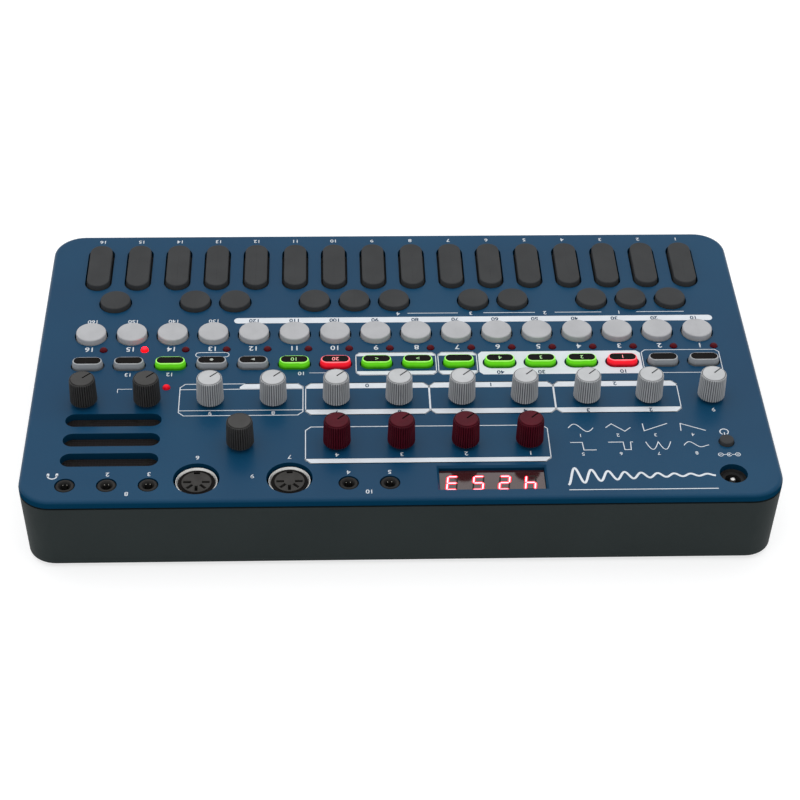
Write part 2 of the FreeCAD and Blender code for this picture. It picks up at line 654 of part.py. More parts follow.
def make_top_cover():
    """The panel: a thick plate with a rounded rim, a locating lip, screw bosses and board posts."""
    body = new_body("top_cover")
    sketch = new_sketch(body, "Layout.panel_top")
    rounded_rectangle(sketch, "Layout.case_length", "Layout.case_depth", "Sizes.corner_radius")
    plate = pad(body, sketch, "Sizes.cover_thickness", down=True)
    soften(body, plate, "Layout.panel_top", "Sizes.cover_edge", kind="Fillet")

    lip = new_sketch(body, "Layout.cover_under")
    rounded_rectangle(lip, "Layout.lip_length", "Layout.lip_depth", "Layout.lip_radius")
    rounded_rectangle(lip, "Layout.lip_bore_length", "Layout.lip_bore_depth", "Layout.lip_bore_radius")
    pad(body, lip, "Sizes.lip_height", down=True)
    bosses = squares(body, "Layout.cover_under", "Sizes.boss_width", SCREWS)
    pad(body, bosses, "Layout.under_cover_height", down=True)
    posts = squares(body, "Layout.cover_under", "Sizes.post_width", POSTS)
    pad(body, posts, "Layout.under_cover_height", down=True)
    bores = circles(body, "Layout.board_top", "Sizes.screw_diameter", SCREWS)
    pocket(body, bores, "Layout.boss_bore_depth", up=True)

    keys = new_sketch(body, "Layout.panel_top", column_x(0), "Layout.key_y")
    stadium(keys, "Layout.key_hole_width", "Layout.key_hole_length")
    row(body, pocket(body, keys), COLUMNS, "Layout.column_run")
    sharps = [(sharp_x(gap), "Layout.sharp_y") for gap in SHARP_GAPS]
    pocket(body, circles(body, "Layout.panel_top", "Layout.sharp_hole", sharps))
    steps = circles(body, "Layout.panel_top", "Layout.step_hole", [(column_x(0), "Layout.step_y")])
    row(body, pocket(body, steps), COLUMNS, "Layout.column_run")
    lamps = circles(
        body, "Layout.panel_top", "Layout.lamp_hole", [("Layout.first_lamp", "Layout.lamp_y")]
    )
    row(body, pocket(body, lamps), COLUMNS, "Layout.column_run")
    functions = new_sketch(body, "Layout.panel_top", column_x(0), "Layout.function_y")
    stadium(functions, "Layout.function_hole_width", "Layout.function_hole_depth")
    row(body, pocket(body, functions), COLUMNS, "Layout.column_run")
    front = circles(
        body, "Layout.panel_top", "Layout.shaft_hole", [("Layout.first_knob", "Layout.front_knob_y")]
    )
    row(body, pocket(body, front), FRONT_KNOBS, "Layout.knob_run")
    rear = [(x, "Layout.rear_knob_y") for x in REAR_X + [ENCODER_X]]
    pocket(body, circles(body, "Layout.panel_top", "Layout.shaft_hole", rear))

    sockets = new_sketch(body, "Layout.panel_top")
    for x in JACKS:
        circle(sockets, "Layout.jack_hole", x, "Layout.jack_y")
    for x in DINS:
        circle(sockets, "Layout.din_hole", x, "Layout.socket_y")
    circle(sockets, "Sizes.power_socket_hole", "Layout.power_x", "Layout.socket_y")
    circle(sockets, "Layout.power_hole", "Layout.power_x", "Layout.power_y")
    circle(sockets, "Layout.lamp_hole", "Layout.beat_x", "Layout.beat_y")
    rectangle(
        sockets, "Sizes.display_width", "Sizes.display_height", "Layout.display_x", "Layout.display_y"
    )
    pocket(body, sockets)
    mouth = new_sketch(body, "Layout.panel_top")
    rectangle(
        mouth,
        "Layout.window_mouth_width",
        "Layout.window_mouth_height",
        "Layout.display_x",
        "Layout.display_y",
    )
    pocket(body, mouth, "Sizes.window_bevel", lean="45")
    slot = new_sketch(body, "Layout.panel_top", "Layout.speaker_x", "Layout.first_slot_y")
    stadium(slot, "Sizes.slot_length", "Sizes.slot_width")
    row(body, pocket(body, slot), SLOTS, "Layout.slot_run", axis="Y_Axis")
    keep(body, "top_cover")


def make_bottom_case():
    """The tub: leaning walls, a column for each screw, board posts, and the battery bay."""
    body = new_body("bottom_case")
    sketch = new_sketch(body, "Layout.case_rim")
    rounded_rectangle(sketch, "Layout.case_length", "Layout.case_depth", "Sizes.corner_radius")
    block = pad(body, sketch, "Layout.wall_height", down=True, lean="Layout.draft_angle")
    soften(body, block, "Layout.underside", "Sizes.base_edge")
    hollow = new_sketch(body, "Layout.case_rim")
    rounded_rectangle(hollow, "Layout.inner_length", "Layout.inner_depth", "Layout.inner_radius")
    pocket(body, hollow, "Layout.hollow_height", lean="Layout.draft_angle")

    columns = squares(body, "Layout.floor_top", "Sizes.column_width", SCREWS)
    pad(body, columns, "Layout.column_height")
    pad(body, squares(body, "Layout.floor_top", "Sizes.post_width", POSTS), "Layout.post_height")
    bay = new_sketch(body, "Layout.floor_top")
    rectangle(bay, "Layout.bay_block_length", "Layout.bay_block_depth")
    pad(body, bay, "Layout.bay_block_height")
    room = new_sketch(body, "Layout.floor_top")
    rectangle(room, "Layout.bay_length", "Layout.bay_depth")
    pocket(body, room, "Layout.bay_height", up=True)
    mouth = new_sketch(body, "Layout.underside")
    rectangle(mouth, "Layout.bay_length", "Layout.bay_mouth_depth")
    pocket(body, mouth, "Sizes.floor_thickness", up=True)
    rebate = new_sketch(body, "Layout.underside")
    rectangle(rebate, "Layout.rebate_length", "Layout.rebate_depth")
    pocket(body, rebate, "Layout.rebate_height", up=True)
    notch = circles(body, "Layout.underside", "Sizes.finger_notch", [("0", "-Layout.rebate_depth / 2")])
    pocket(body, notch, "Sizes.door_thickness", up=True)

    heads = circles(body, "Layout.underside", "Layout.head_hole", SCREWS)
    pocket(body, heads, "Layout.head_hole_depth", up=True)
    shanks = circles(body, "Layout.underside", "Layout.screw_hole", SCREWS)
    pocket(body, shanks, up=True)
    keep(body, "bottom_case")


def make_battery_door():
    """The door lies in its rebate, hooked behind the rear ledge by two tabs, on which it swings down."""
    body = new_body("battery_door")
    plate = new_sketch(body, "Layout.underside")
    rectangle(plate, "Layout.door_length", "Layout.door_depth")
    pad(body, plate, "Sizes.door_thickness")
    legs = new_sketch(body, "Layout.door_inside")
    hooks = new_sketch(body, "Layout.tab_under")
    for side in (-1, 1):
        x = f"{side} * Layout.cell_pitch"
        rectangle(legs, "Sizes.tab_width", "Sizes.tab_thickness", x, "Layout.tab_y")
        rectangle(hooks, "Sizes.tab_width", "Layout.hook_depth", x, "Layout.hook_y")
    pad(body, legs, "Layout.tab_height")
    pad(body, hooks, "Sizes.tab_thickness")
    latch = new_sketch(body, "Layout.door_inside")
    rectangle(latch, "Sizes.latch_width", "Sizes.tab_thickness", "0", "Layout.latch_y")
    pad(body, latch, "Sizes.latch_height")
    grip = new_sketch(body, "Layout.underside")
    rectangle(grip, "Sizes.grip_length", "Sizes.grip_width", "0", "Layout.first_grip")
    groove = pocket(body, grip, "Sizes.door_thickness / 3", up=True)
    row(body, groove, 3, "2 * Sizes.grip_pitch", axis="Y_Axis")
    keep(body, "battery_door")


def make_rubber_feet():
    """Four square pads that lift the case off the table."""
    body = new_body("rubber_feet")
    pad(body, squares(body, "0", "Sizes.foot_width", FEET), "Sizes.foot_height")
    keep(body, "rubber_feet")


def make_case_screws():
    """Each screw goes up through its column into the cover's boss, with its head deep in the column."""
    body = new_body("case_screws")
    heads = circles(body, "Layout.head_seat", "Sizes.screw_head", SCREWS)
    pad(body, heads, "Sizes.screw_head_height", down=True)
    shanks = circles(body, "Layout.head_seat", "Sizes.screw_diameter", SCREWS)
    pad(body, shanks, "Sizes.screw_length")
    keep(body, "case_screws")


# Board and what stands on it


def make_circuit_board():
    """The board lies between the posts of both halves, notched at its corners for the columns."""
    body = new_body("circuit_board")
    board = new_sketch(body, "Layout.board_under")
    rectangle(board, "Layout.board_length", "Layout.board_width")
    pad(body, board, "Sizes.board_thickness")
    corners = new_sketch(body, "Layout.board_under")
    for side in (-1, 1):
        for end in (-1, 1):
            x, y = f"{side} * Layout.board_length / 2", f"{end} * Layout.board_width / 2"
            rectangle(corners, "Layout.board_notch", "Layout.board_notch", x, y)
    pocket(body, corners, up=True)
    switch = new_sketch(body, "Layout.board_top")
    rectangle(switch, "Sizes.switch_width", "Sizes.switch_width", "Layout.power_x", "Layout.power_y")
    pad(body, switch, "Sizes.switch_height")
    keep(body, "circuit_board")


def make_potentiometers():
    """Sixteen rotary bodies on the board, one under each knob's shaft."""
    form = new_body("potentiometer_form")
    block = new_sketch(form)
    rectangle(block, "Sizes.pot_width", "Sizes.pot_depth")
    pad(form, block, "Sizes.pot_height")
    places = [(x, "Layout.front_knob_y") for x in FRONT_X]
    places += [(x, "Layout.rear_knob_y") for x in REAR_X + [ENCODER_X]]
    bodies = [copy_of(form, "potentiometer", x, y, "Layout.board_top") for x, y in places]
    group("potentiometers", bodies)


def make_knob_form(name, pointer):
    """A fluted knob with its shaft; heights are counted from the panel's top."""
    body = new_body(name)
    skirt = circles(body, "Sizes.knob_stand", "Sizes.knob_diameter")
    pad(body, skirt, "Sizes.knob_height")
    flute = new_sketch(body, "Sizes.knob_stand")
    radius, depth = number("Sizes.knob_diameter") / 2, number("Sizes.flute_depth")
    half = number("Sizes.flute_width")
    tip, right, left = (radius - depth, 0), (radius + depth, -half), (radius + depth, half)
    sides = [segment(flute, *ends) for ends in ((tip, right), (right, left), (left, tip))]
    for k in range(3):
        constrain(flute, "Coincident", sides[k], 2, sides[(k + 1) % 3], 1)
    constrain(flute, "Vertical", sides[1])
    constrain(flute, "DistanceY", sides[1], 1, sides[1], 2, 2 * half, formula="2 * Sizes.flute_width")
    place_point(flute, sides[0], 1, "Sizes.knob_diameter / 2 - Sizes.flute_depth", "0")
    reach = "Sizes.knob_diameter / 2 + Sizes.flute_depth"
    place_point(flute, sides[1], 1, reach, "-Sizes.flute_width")
    fan(body, pocket(body, flute, up=True), FLUTES, 360)
    if pointer:
        line = new_sketch(body, "Layout.knob_top")
        rectangle(line, "Sizes.knob_diameter", "Sizes.pointer_width", "Sizes.knob_diameter / 2")
        pocket(body, line, "Sizes.pointer_depth")
    shaft = circles(body, "Sizes.knob_stand", "Sizes.shaft_diameter")
    pad(body, shaft, "Layout.shaft_length", down=True)
    return body


POINTER_TURN = 225


def make_knobs():
    """Eleven knobs in the front row and five in the rear one; the encoder has no pointer line."""
    knob = make_knob_form("knob_form", pointer=True)
    plain = make_knob_form("encoder_form", pointer=False)
    for index, x in enumerate(FRONT_X, start=1):
        label = f"front_knob_{index:02d}"
        keep(copy_of(knob, label, x, "Layout.front_knob_y", "Layout.panel_top", POINTER_TURN), label)
    for index, x in enumerate(REAR_X, start=1):
        label = f"rear_knob_{index}"
        keep(copy_of(knob, label, x, "Layout.rear_knob_y", "Layout.panel_top", POINTER_TURN), label)
    label = "encoder_knob"
    keep(copy_of(plain, label, ENCODER_X, "Layout.rear_knob_y", "Layout.panel_top", 0), label)


# Keys and buttons


def make_plunger(body, length, width="Sizes.plunger_width", depth="Sizes.plunger_width"):
    """The stem below a flange, which presses the contact on the board."""
    stem = new_sketch(body, "Layout.flange_under")
    rectangle(stem, width, depth)
    pad(body, stem, length, down=True)


def make_natural_keys():
    """Long keys: a half-round-ended cap over a flange that the panel holds down."""
    form = new_body("natural_key_form")
    cap = new_sketch(form, "Layout.flange_top")
    stadium(cap, "Sizes.key_width", "Sizes.key_length")
    pad(form, cap, "Layout.key_cap_height")
    flange = new_sketch(form, "Layout.flange_top")
    rectangle(flange, "Layout.key_flange_width", "Layout.key_flange_length")
    pad(form, flange, "Sizes.flange_thickness", down=True)
    make_plunger(form, "Layout.plunger_length", depth="Sizes.plunger_length")
    for index in range(COLUMNS):
        label = f"natural_key_{index + 1:02d}"
        keep(copy_of(form, label, column_x(index), "Layout.key_y", "Layout.panel_top"), label)


def make_sharp_keys():
    """Round keys: a round cap over a square flange and one stem."""
    form = new_body("sharp_key_form")
    pad(form, circles(form, "Layout.flange_top", "Sizes.sharp_diameter"), "Layout.key_cap_height")
    flange = new_sketch(form, "Layout.flange_top")
    rectangle(flange, "Layout.sharp_flange", "Layout.sharp_flange")
    pad(form, flange, "Sizes.flange_thickness", down=True)
    make_plunger(form, "Layout.plunger_length")
    for index, gap in enumerate(SHARP_GAPS, start=1):
        label = f"sharp_key_{index:02d}"
        keep(copy_of(form, label, sharp_x(gap), "Layout.sharp_y", "Layout.panel_top"), label)


def make_button_mat(label, y, mat_length, mat_depth, cap_height, outline):
    """One silicone moulding: a strip under the panel with sixteen caps above it and a stem below each."""
    body = new_body(label)
    strip = new_sketch(body, "Layout.mat_top")
    rectangle(strip, mat_length, mat_depth, "0", y)
    pad(body, strip, "Sizes.flange_thickness", down=True)
    cap = new_sketch(body, "Layout.mat_top", column_x(0), y)
    outline(cap)
    row(body, pad(body, cap, cap_height), COLUMNS, "Layout.column_run")
    stem = new_sketch(body, "Layout.mat_top - Sizes.flange_thickness", column_x(0), y)
    rectangle(stem, "Sizes.plunger_width", "Sizes.plunger_width")
    row(body, pad(body, stem, "Layout.plunger_length", down=True), COLUMNS, "Layout.column_run")
    keep(body, label)


def make_button_mats():
    """The step buttons are one moulding, and the function buttons another."""
    make_button_mat(
        "step_button_mat",
        "Layout.step_y",
        "Layout.step_mat_length",
        "Layout.step_mat_depth",
        "Layout.step_cap_height",
        lambda cap: circle(cap, "Sizes.step_diameter"),
    )
    make_button_mat(
        "function_button_mat",
        "Layout.function_y",
        "Layout.function_mat_length",
        "Layout.function_mat_depth",
        "Layout.function_cap_height",
        lambda cap: stadium(cap, "Sizes.button_width", "Sizes.function_depth"),
    )


def make_power_button():
    """A small round button over the power switch on the board."""
    form = new_body("power_button_form")
    pad(form, circles(form, "Layout.flange_top", "Sizes.power_diameter"), "Layout.power_cap_height")
    flange = new_sketch(form, "Layout.flange_top")
    rectangle(flange, "Layout.power_flange", "Layout.power_flange")
    pad(form, flange, "Sizes.flange_thickness", down=True)
    make_plunger(form, "Layout.power_plunger_length")
    label = "power_button"
    keep(copy_of(form, label, "Layout.power_x", "Layout.power_y", "Layout.panel_top"), label)


# Sockets, display, lamps and speaker


def make_din_sockets():
    """Five-pin sockets: a sheet metal ring round a plastic insert with five slots on a half circle."""
    shells = new_body("din_shells")
    rings = new_sketch(shells, "Layout.board_top")
    for x in DINS:
        circle(rings, "Sizes.din_shell", x, "Layout.socket_y")
        circle(rings, "Layout.din_shell_bore", x, "Layout.socket_y")
    pad(shells, rings, "Layout.din_shell_height")
    keep(shells, "din_shells")

    form = new_body("din_insert_form")
    pad(form, circles(form, "0", "Sizes.din_insert"), "Layout.din_insert_height")
    notch = new_sketch(form, "Layout.din_insert_height")
    rectangle(notch, "Sizes.key_notch", "Sizes.key_notch", "0", "-Sizes.din_insert / 2")
    pocket(form, notch, "Sizes.pin_slot_depth")
    slot = new_sketch(form, "Layout.din_insert_height")
    rectangle(slot, "Sizes.pin_slot_length", "Sizes.pin_slot_width", "Sizes.pin_slot_radius")
    fan(form, pocket(form, slot, "Sizes.pin_slot_depth"), 5, 180)
    inserts = [copy_of(form, "din_insert", x, "Layout.socket_y", "Layout.board_top") for x in DINS]
    group("din_inserts", inserts)


def make_panel_jacks():
    """Five mini jacks, flush with the panel, and the power socket with its centre pin."""
    form = new_body("mini_jack_form")
    block = new_sketch(form)
    rectangle(block, "Sizes.jack_block", "Sizes.jack_block")
    pad(form, block, "Layout.jack_block_height")
    collar = circles(form, "Layout.jack_block_height", "Sizes.jack_diameter")
    pad(form, collar, "Layout.jack_collar_height")
    pocket(form, circles(form, "Sizes.component_height", "Sizes.jack_bore"), "Layout.jack_bore_depth")
    jacks = [copy_of(form, "mini_jack", x, "Layout.jack_y", "Layout.board_top") for x in JACKS]

    power = new_body("power_socket_form")
    base = new_sketch(power)
    rectangle(base, "Layout.power_collar", "Sizes.power_block_depth")
    pad(power, base, "Layout.jack_block_height")
    neck = circles(power, "Layout.jack_block_height", "Layout.power_collar")
    pad(power, neck, "Layout.power_collar_height")
    top = "Layout.jack_block_height + Layout.power_collar_height"
    bore = circles(power, top, "Sizes.power_socket_bore")
    pocket(power, bore, "Layout.power_bore_depth")
    pin = circles(power, "Sizes.jack_floor", "Sizes.power_socket_pin")
    pad(power, pin, "Layout.power_bore_depth")
    jacks.append(copy_of(power, "power_socket", "Layout.power_x", "Layout.socket_y", "Layout.board_top"))
    group("panel_jacks", jacks)


def make_led_display():
    """The display stands on the board, and its narrower face rises into the window."""
    body = new_body("led_display")
    block = new_sketch(body, "Layout.board_top")
    x, y = "Layout.display_x", "Layout.display_y"
    rectangle(block, "Layout.display_block_width", "Layout.display_block_depth", x, y)
    pad(body, block, "Layout.jack_block_height")
    face = new_sketch(body, "Layout.board_top + Layout.jack_block_height")
    rectangle(face, "Layout.display_face_width", "Layout.display_face_depth", x, y)
    pad(body, face, "Layout.display_face_height")
    keep(body, "led_display")


def make_panel_lamps():
    """A lamp at the upper left of each step button, and the beat lamp by the last knob."""
    body = new_body("panel_lamps")
    first = circles(
        body, "Layout.lamp_top", "Sizes.lamp_diameter", [("Layout.first_lamp", "Layout.lamp_y")]
    )
    row(body, pad(body, first, "Sizes.lamp_length", down=True), COLUMNS, "Layout.column_run")
    beat = circles(body, "Layout.lamp_top", "Sizes.lamp_diameter", [("Layout.beat_x", "Layout.beat_y")])
    pad(body, beat, "Sizes.lamp_length", down=True)
    keep(body, "panel_lamps")


def make_speaker():
    """A small speaker glued under the slots: the basket, with its cone's well on top, and the magnet."""
    form = new_body("speaker_form")
    basket = circles(form, "0", "Sizes.speaker_diameter")
    pad(form, basket, "Sizes.cone_depth + Sizes.cone_thickness", down=True)
    pocket(form, circles(form, "0", "Layout.cone_diameter"), "Sizes.cone_depth")
    magnet = new_sketch(form, "-Sizes.cone_depth - Sizes.cone_thickness")
    rectangle(magnet, "Sizes.magnet_width", "Sizes.magnet_width")
    pad(form, magnet, "Layout.magnet_height", down=True)
    label = "speaker"
    keep(copy_of(form, label, "Layout.speaker_x", "Layout.speaker_y", "Layout.cover_under"), label)


def make_battery_contacts():
    """Plates on the bay's end walls join the six cells in series: a leaf spring for each minus end."""
    body = new_body("battery_contacts")
    pairs = new_sketch(body, "Layout.contact_bottom")
    ends = (CELLS - 1) / 2
    for cell in (0.5, 2.5, 4.5):
        x = f"{cell - ends} * Layout.cell_pitch"
        rectangle(pairs, "Layout.contact_pair", "Sizes.contact_thickness", x, "Layout.contact_y")
    for cell in (1.5, 3.5):
        x = f"{cell - ends} * Layout.cell_pitch"
        rectangle(pairs, "Layout.contact_pair", "Sizes.contact_thickness", x, "-Layout.contact_y")
    for cell in (0, CELLS - 1):
        x = f"{cell - ends} * Layout.cell_pitch"
        rectangle(pairs, "Sizes.contact_width", "Sizes.contact_thickness", x, "-Layout.contact_y")
    pad(body, pairs, "Sizes.contact_height")
    touches = new_sketch(body, "Layout.contact_bottom + (Sizes.contact_height - Sizes.touch_height) / 2")
    for cell in range(CELLS):
        side = -1 if cell % 2 else 1
        x = f"{cell - ends} * Layout.cell_pitch"
        rectangle(touches, "Sizes.touch_width", "Sizes.spring_depth", x, f"{side} * Layout.spring_y")
        rectangle(touches, "Sizes.touch_width", "Sizes.nub_depth", x, f"{-side} * Layout.nub_y")
    pad(body, touches, "Sizes.touch_height")
    keep(body, "battery_contacts")


make_top_cover()
make_bottom_case()
make_battery_door()
make_rubber_feet()
make_case_screws()
make_circuit_board()
make_potentiometers()
make_knobs()
make_natural_keys()
make_sharp_keys()
make_button_mats()
make_power_button()
make_din_sockets()
make_panel_jacks()
make_led_display()
make_panel_lamps()
make_speaker()
make_battery_contacts()

doc.recompute()
for item in doc.Objects:
    if "Invalid" in item.State or "Error" in item.State:
        raise RuntimeError(f"{item.Label} did not build: {item.State}")
for piece in subparts:
    if piece.Shape.isNull() or not piece.Shape.isValid():
        raise RuntimeError(f"{piece.Label} has no valid shape")

os.makedirs("parts", exist_ok=True)
for piece in subparts:
    piece.Shape.exportStep(f"parts/{piece.Label}.step")
print(f"{len(subparts)} sub-parts written")
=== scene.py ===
# %% [markdown]
# # A compact synthesizer, dressed round its CAD frame
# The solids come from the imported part. This lesson gives them their finishes, and models again
# the pieces whose charm is in small forms: fluted knobs, lit caps, the display and the print.

# %% Load the frame
import json
import math

import bmesh
import bpy
from bmesh.types import BMEdge, BMFace, BMVert
from mathutils import Matrix, Vector


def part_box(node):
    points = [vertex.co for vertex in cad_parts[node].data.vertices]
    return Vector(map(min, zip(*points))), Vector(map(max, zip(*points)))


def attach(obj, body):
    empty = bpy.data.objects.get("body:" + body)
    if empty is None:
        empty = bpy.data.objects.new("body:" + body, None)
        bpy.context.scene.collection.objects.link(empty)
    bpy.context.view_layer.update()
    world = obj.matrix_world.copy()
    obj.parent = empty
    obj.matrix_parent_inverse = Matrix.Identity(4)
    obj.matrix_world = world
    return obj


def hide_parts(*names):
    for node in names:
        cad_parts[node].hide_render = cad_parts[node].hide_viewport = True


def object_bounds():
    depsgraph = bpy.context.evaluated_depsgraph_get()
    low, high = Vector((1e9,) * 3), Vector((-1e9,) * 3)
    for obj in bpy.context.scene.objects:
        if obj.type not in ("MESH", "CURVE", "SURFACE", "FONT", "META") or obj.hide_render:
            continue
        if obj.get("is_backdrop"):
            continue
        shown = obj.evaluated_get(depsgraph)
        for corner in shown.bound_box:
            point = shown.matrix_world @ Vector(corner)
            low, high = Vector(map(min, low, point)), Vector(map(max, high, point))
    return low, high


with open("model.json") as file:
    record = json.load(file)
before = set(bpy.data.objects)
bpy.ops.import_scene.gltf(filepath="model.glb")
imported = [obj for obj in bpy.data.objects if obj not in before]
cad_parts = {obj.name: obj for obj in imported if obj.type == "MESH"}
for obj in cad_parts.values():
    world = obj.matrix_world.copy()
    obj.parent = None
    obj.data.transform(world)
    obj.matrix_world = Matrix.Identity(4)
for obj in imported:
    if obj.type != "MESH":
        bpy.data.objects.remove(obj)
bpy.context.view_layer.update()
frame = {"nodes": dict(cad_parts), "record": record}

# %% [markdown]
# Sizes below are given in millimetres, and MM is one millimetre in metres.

MM = 0.001

# %% [markdown]
# ## Camera
# The synthesizer was photographed from behind and above, so its sockets are nearest and its
# keys are far away. The lens is long, about 95 mm, which keeps the case's sides nearly parallel.

# %% Camera behind the rear edge
# Solved from the photograph: its place in mm, and the directions that are right and down in it
CAMERA_PLACE = Vector((30.107, 684.183, 578.231)) * MM
CAMERA_RIGHT = Vector((-0.9993213, 0.0331090, 0.0161473))
CAMERA_DOWN = Vector((0.0086657, 0.6373437, -0.7705310))
LENS = 94.626
SENSOR = 36.0

camera_data = bpy.data.cameras.new("camera")
camera_data.lens = LENS
camera_data.sensor_width = SENSOR
camera = bpy.data.objects.new("camera", camera_data)
bpy.context.scene.collection.objects.link(camera)
ahead = CAMERA_RIGHT.cross(CAMERA_DOWN)
turn = Matrix((CAMERA_RIGHT, -CAMERA_DOWN, -ahead)).transposed()
camera.matrix_world = Matrix.Translation(CAMERA_PLACE) @ turn.to_4x4()
bpy.context.scene.camera = camera
print("camera looks down by", round(math.degrees(math.asin(-ahead.z)), 1), "degrees")

# %% [markdown]
# ## Colours and nodes
# Colours are written as sRGB hex values, as a paint chart gives them. Blender mixes light in
# linear values, so one function turns them over. Another adds a node with its settings and links.

# %% Two small helpers for materials
def linear(code):
    """The linear colour for an sRGB hex value such as "2C5676"."""
    parts = [int(code[i:i + 2], 16) / 255 for i in (0, 2, 4)]
    return tuple(p / 12.92 if p <= 0.04045 else ((p + 0.055) / 1.055) ** 2.4 for p in parts) + (1.0,)


def add(tree, kind, inputs=None, **settings):
    """A new node of that kind. inputs holds a value, or another node's output, for each socket."""
    node = tree.nodes.new(kind)
    for name, value in settings.items():
        setattr(node, name, value)
    for name, value in (inputs or {}).items():
        if isinstance(value, bpy.types.NodeSocket):
            tree.links.new(value, node.inputs[name])
        else:
            node.inputs[name].default_value = value
    return node


def new_material(name):
    """An empty material: itself, its tree, and the Object coordinates for its patterns."""
    material = bpy.data.materials.new(name)
    material.use_nodes = True
    tree = material.node_tree
    tree.nodes.clear()
    return material, tree, add(tree, "ShaderNodeTexCoord").outputs["Object"]


print("white is", linear("FFFFFF"))

# %% [markdown]
# ## Moulded plastic
# Most of this object is injection moulded: the case, the keys and the knobs. A mould's wall is
# spark eroded, which leaves a fine pebbled grain. The grain breaks the highlight up, and dust and
# handling change the colour a little over some centimetres. Real grain is about 0.1 mm and too
# fine to show from here, so it is drawn three to six times as coarse.

# %% The moulded finish
# How far the roughness goes up and down with the grain
UNEVEN = 0.06


def moulded(name, colour, darker, roughness, grain=0.5, depth=0.02, drift=25.0, coat=0.0, shine=0.12,
            valley=None, wall_shade=None):
    """Moulded plastic: colour drifts to darker over drift mm, with grain mm of depth mm on it.
    shine is the share of a bare gloss surface's reflection that the grain and the dust leave, and
    valley is the colour of painted shade between ribs, where the mesh says that it has any. wall_shade
    is the colour of upright faces: painted shade, deeper than the top, and with hardly any sheen."""
    material, tree, place = new_material(name)
    cloud = add(tree, "ShaderNodeTexNoise", {"Vector": place, "Scale": 1 / (drift * MM), "Detail": 3.0})
    blend = add(tree, "ShaderNodeMapRange", {"Value": cloud.outputs[0], "From Min": 0.35, "From Max": 0.65})
    paint = add(tree, "ShaderNodeMix", {0: blend.outputs[0], 6: linear(colour), 7: linear(darker)},
                data_type="RGBA")
    # Painted shade in the ribs' valleys, where the mesh's valley layer says so
    if valley:
        valley_shade = add(tree, "ShaderNodeAttribute", attribute_name="valley")
        paint = add(tree, "ShaderNodeMix", {0: valley_shade.outputs["Fac"], 6: paint.outputs[2], 7: linear(valley)},
                    data_type="RGBA")
    # Painted shade on upright faces, which also lose most of their sheen
    if wall_shade:
        facing = add(tree, "ShaderNodeSeparateXYZ", {0: add(tree, "ShaderNodeTexCoord").outputs["Normal"]})
        level = add(tree, "ShaderNodeMapRange", {"Value": facing.outputs["Z"], "From Min": 0.35,
                                                 "From Max": 0.88})
        paint = add(tree, "ShaderNodeMix", {0: level.outputs[0], 6: linear(wall_shade), 7: paint.outputs[2]},
                    data_type="RGBA")
        shine = add(tree, "ShaderNodeMath", {0: level.outputs[0], 1: shine}, operation="MULTIPLY").outputs[0]
    pebble = add(tree, "ShaderNodeTexNoise", {"Vector": place, "Scale": 1 / (grain * MM), "Detail": 2.0})
    gloss = add(tree, "ShaderNodeMapRange", {"Value": pebble.outputs[0], "To Min": roughness - UNEVEN,
                                             "To Max": roughness + UNEVEN})
    bump = add(tree, "ShaderNodeBump", {"Height": pebble.outputs[0], "Distance": depth * MM,
                                        "Strength": 0.6})
    shader = add(tree, "ShaderNodeBsdfPrincipled", {
        "Base Color": paint.outputs[2], "Roughness": gloss.outputs[0], "Normal": bump.outputs[0],
        "IOR": 1.5, "Specular IOR Level": shine, "Coat Weight": coat, "Coat Roughness": 0.3})
    add(tree, "ShaderNodeOutputMaterial", {0: shader.outputs[0]})
    return material


# The panel: ABS with a satin paint, smoother than bare plastic, so it has a broad soft sheen.
# Its upright faces, the rolled edge and the walls of its holes, get painted shade.
cover_paint = moulded("satin_painted_abs_blue", "0A4363", "093E5E", 0.34, grain=0.7, depth=0.006,
                      drift=60, shine=0.22, wall_shade="083650")
# The lower case: bare ABS, coloured through, with a coarser pebble that hides fingerprints.
case_abs = moulded("grained_abs_charcoal", "282F2F", "252C2C", 0.62, grain=0.8, depth=0.05, drift=40)
# The keys: silicone rubber with a dry touch, which never shines.
key_rubber = moulded("silicone_dark_grey", "414243", "3D3E3F", 0.68, grain=0.4, drift=12)
# The step buttons: pale silicone, a little translucent at its edges.
button_rubber = moulded("silicone_pale_grey", "B9B9BB", "B2B2B4", 0.55, grain=0.4, depth=0.015, drift=9)
# Knobs: glossy enough in the mould to carry a small highlight on each rib, with painted shade between them.
knob_pale = moulded("moulded_abs_pale_grey", "C6C7C8", "BEBFC0", 0.45, depth=0.01, drift=7,
                    valley="54565A")
knob_dark = moulded("moulded_abs_dark_grey", "484746", "424140", 0.45, depth=0.01, drift=7,
                    shine=0.2, valley="171616")
knob_maroon = moulded("moulded_abs_maroon", "560C1D", "4C0A1A", 0.42, depth=0.01, drift=7,
                      shine=0.13, valley="22030A")
# Sockets: black glass-filled nylon, dull from its fibres.
socket_nylon = moulded("filled_nylon_black", "302F2E", "292828", 0.5, grain=0.35, drift=5)
insert_nylon = moulded("filled_nylon_dark", "43413F", "3A3836", 0.45, grain=0.35, drift=4)
# Feet: soft black rubber, slightly grey with dust.
foot_rubber = moulded("pressed_rubber_black", "2B2B2B", "232323", 0.8, grain=0.6, depth=0.03, drift=6)
# The display's filter: smoked acrylic, polished, so that it mirrors the knobs behind it. Its red tint is
# partly painted glow from the lit characters.
display_filter = moulded("smoked_acrylic_with_painted_red_glow", "3C1C1E", "34181A", 0.1, grain=1.5, depth=0.001, drift=9,
                         shine=1.0)
# The speaker's cone: pressed paper, dark and fibrous.
speaker_paper = moulded("pressed_paper_black", "252321", "1B1918", 0.85, depth=0.05, drift=3)
# Potentiometer bodies and other dull parts inside.
inner_plastic = moulded("moulded_pbt_grey", "4A4D50", "414447", 0.55, drift=6)
print("moulded finishes:", len([m for m in bpy.data.materials if m.users == 0]))

# %% [markdown]
# ## Metals and board
# Metals keep the shader's own index of refraction. Their look comes from a coloured reflection
# and from roughness that changes over the surface: plating is never evenly bright.

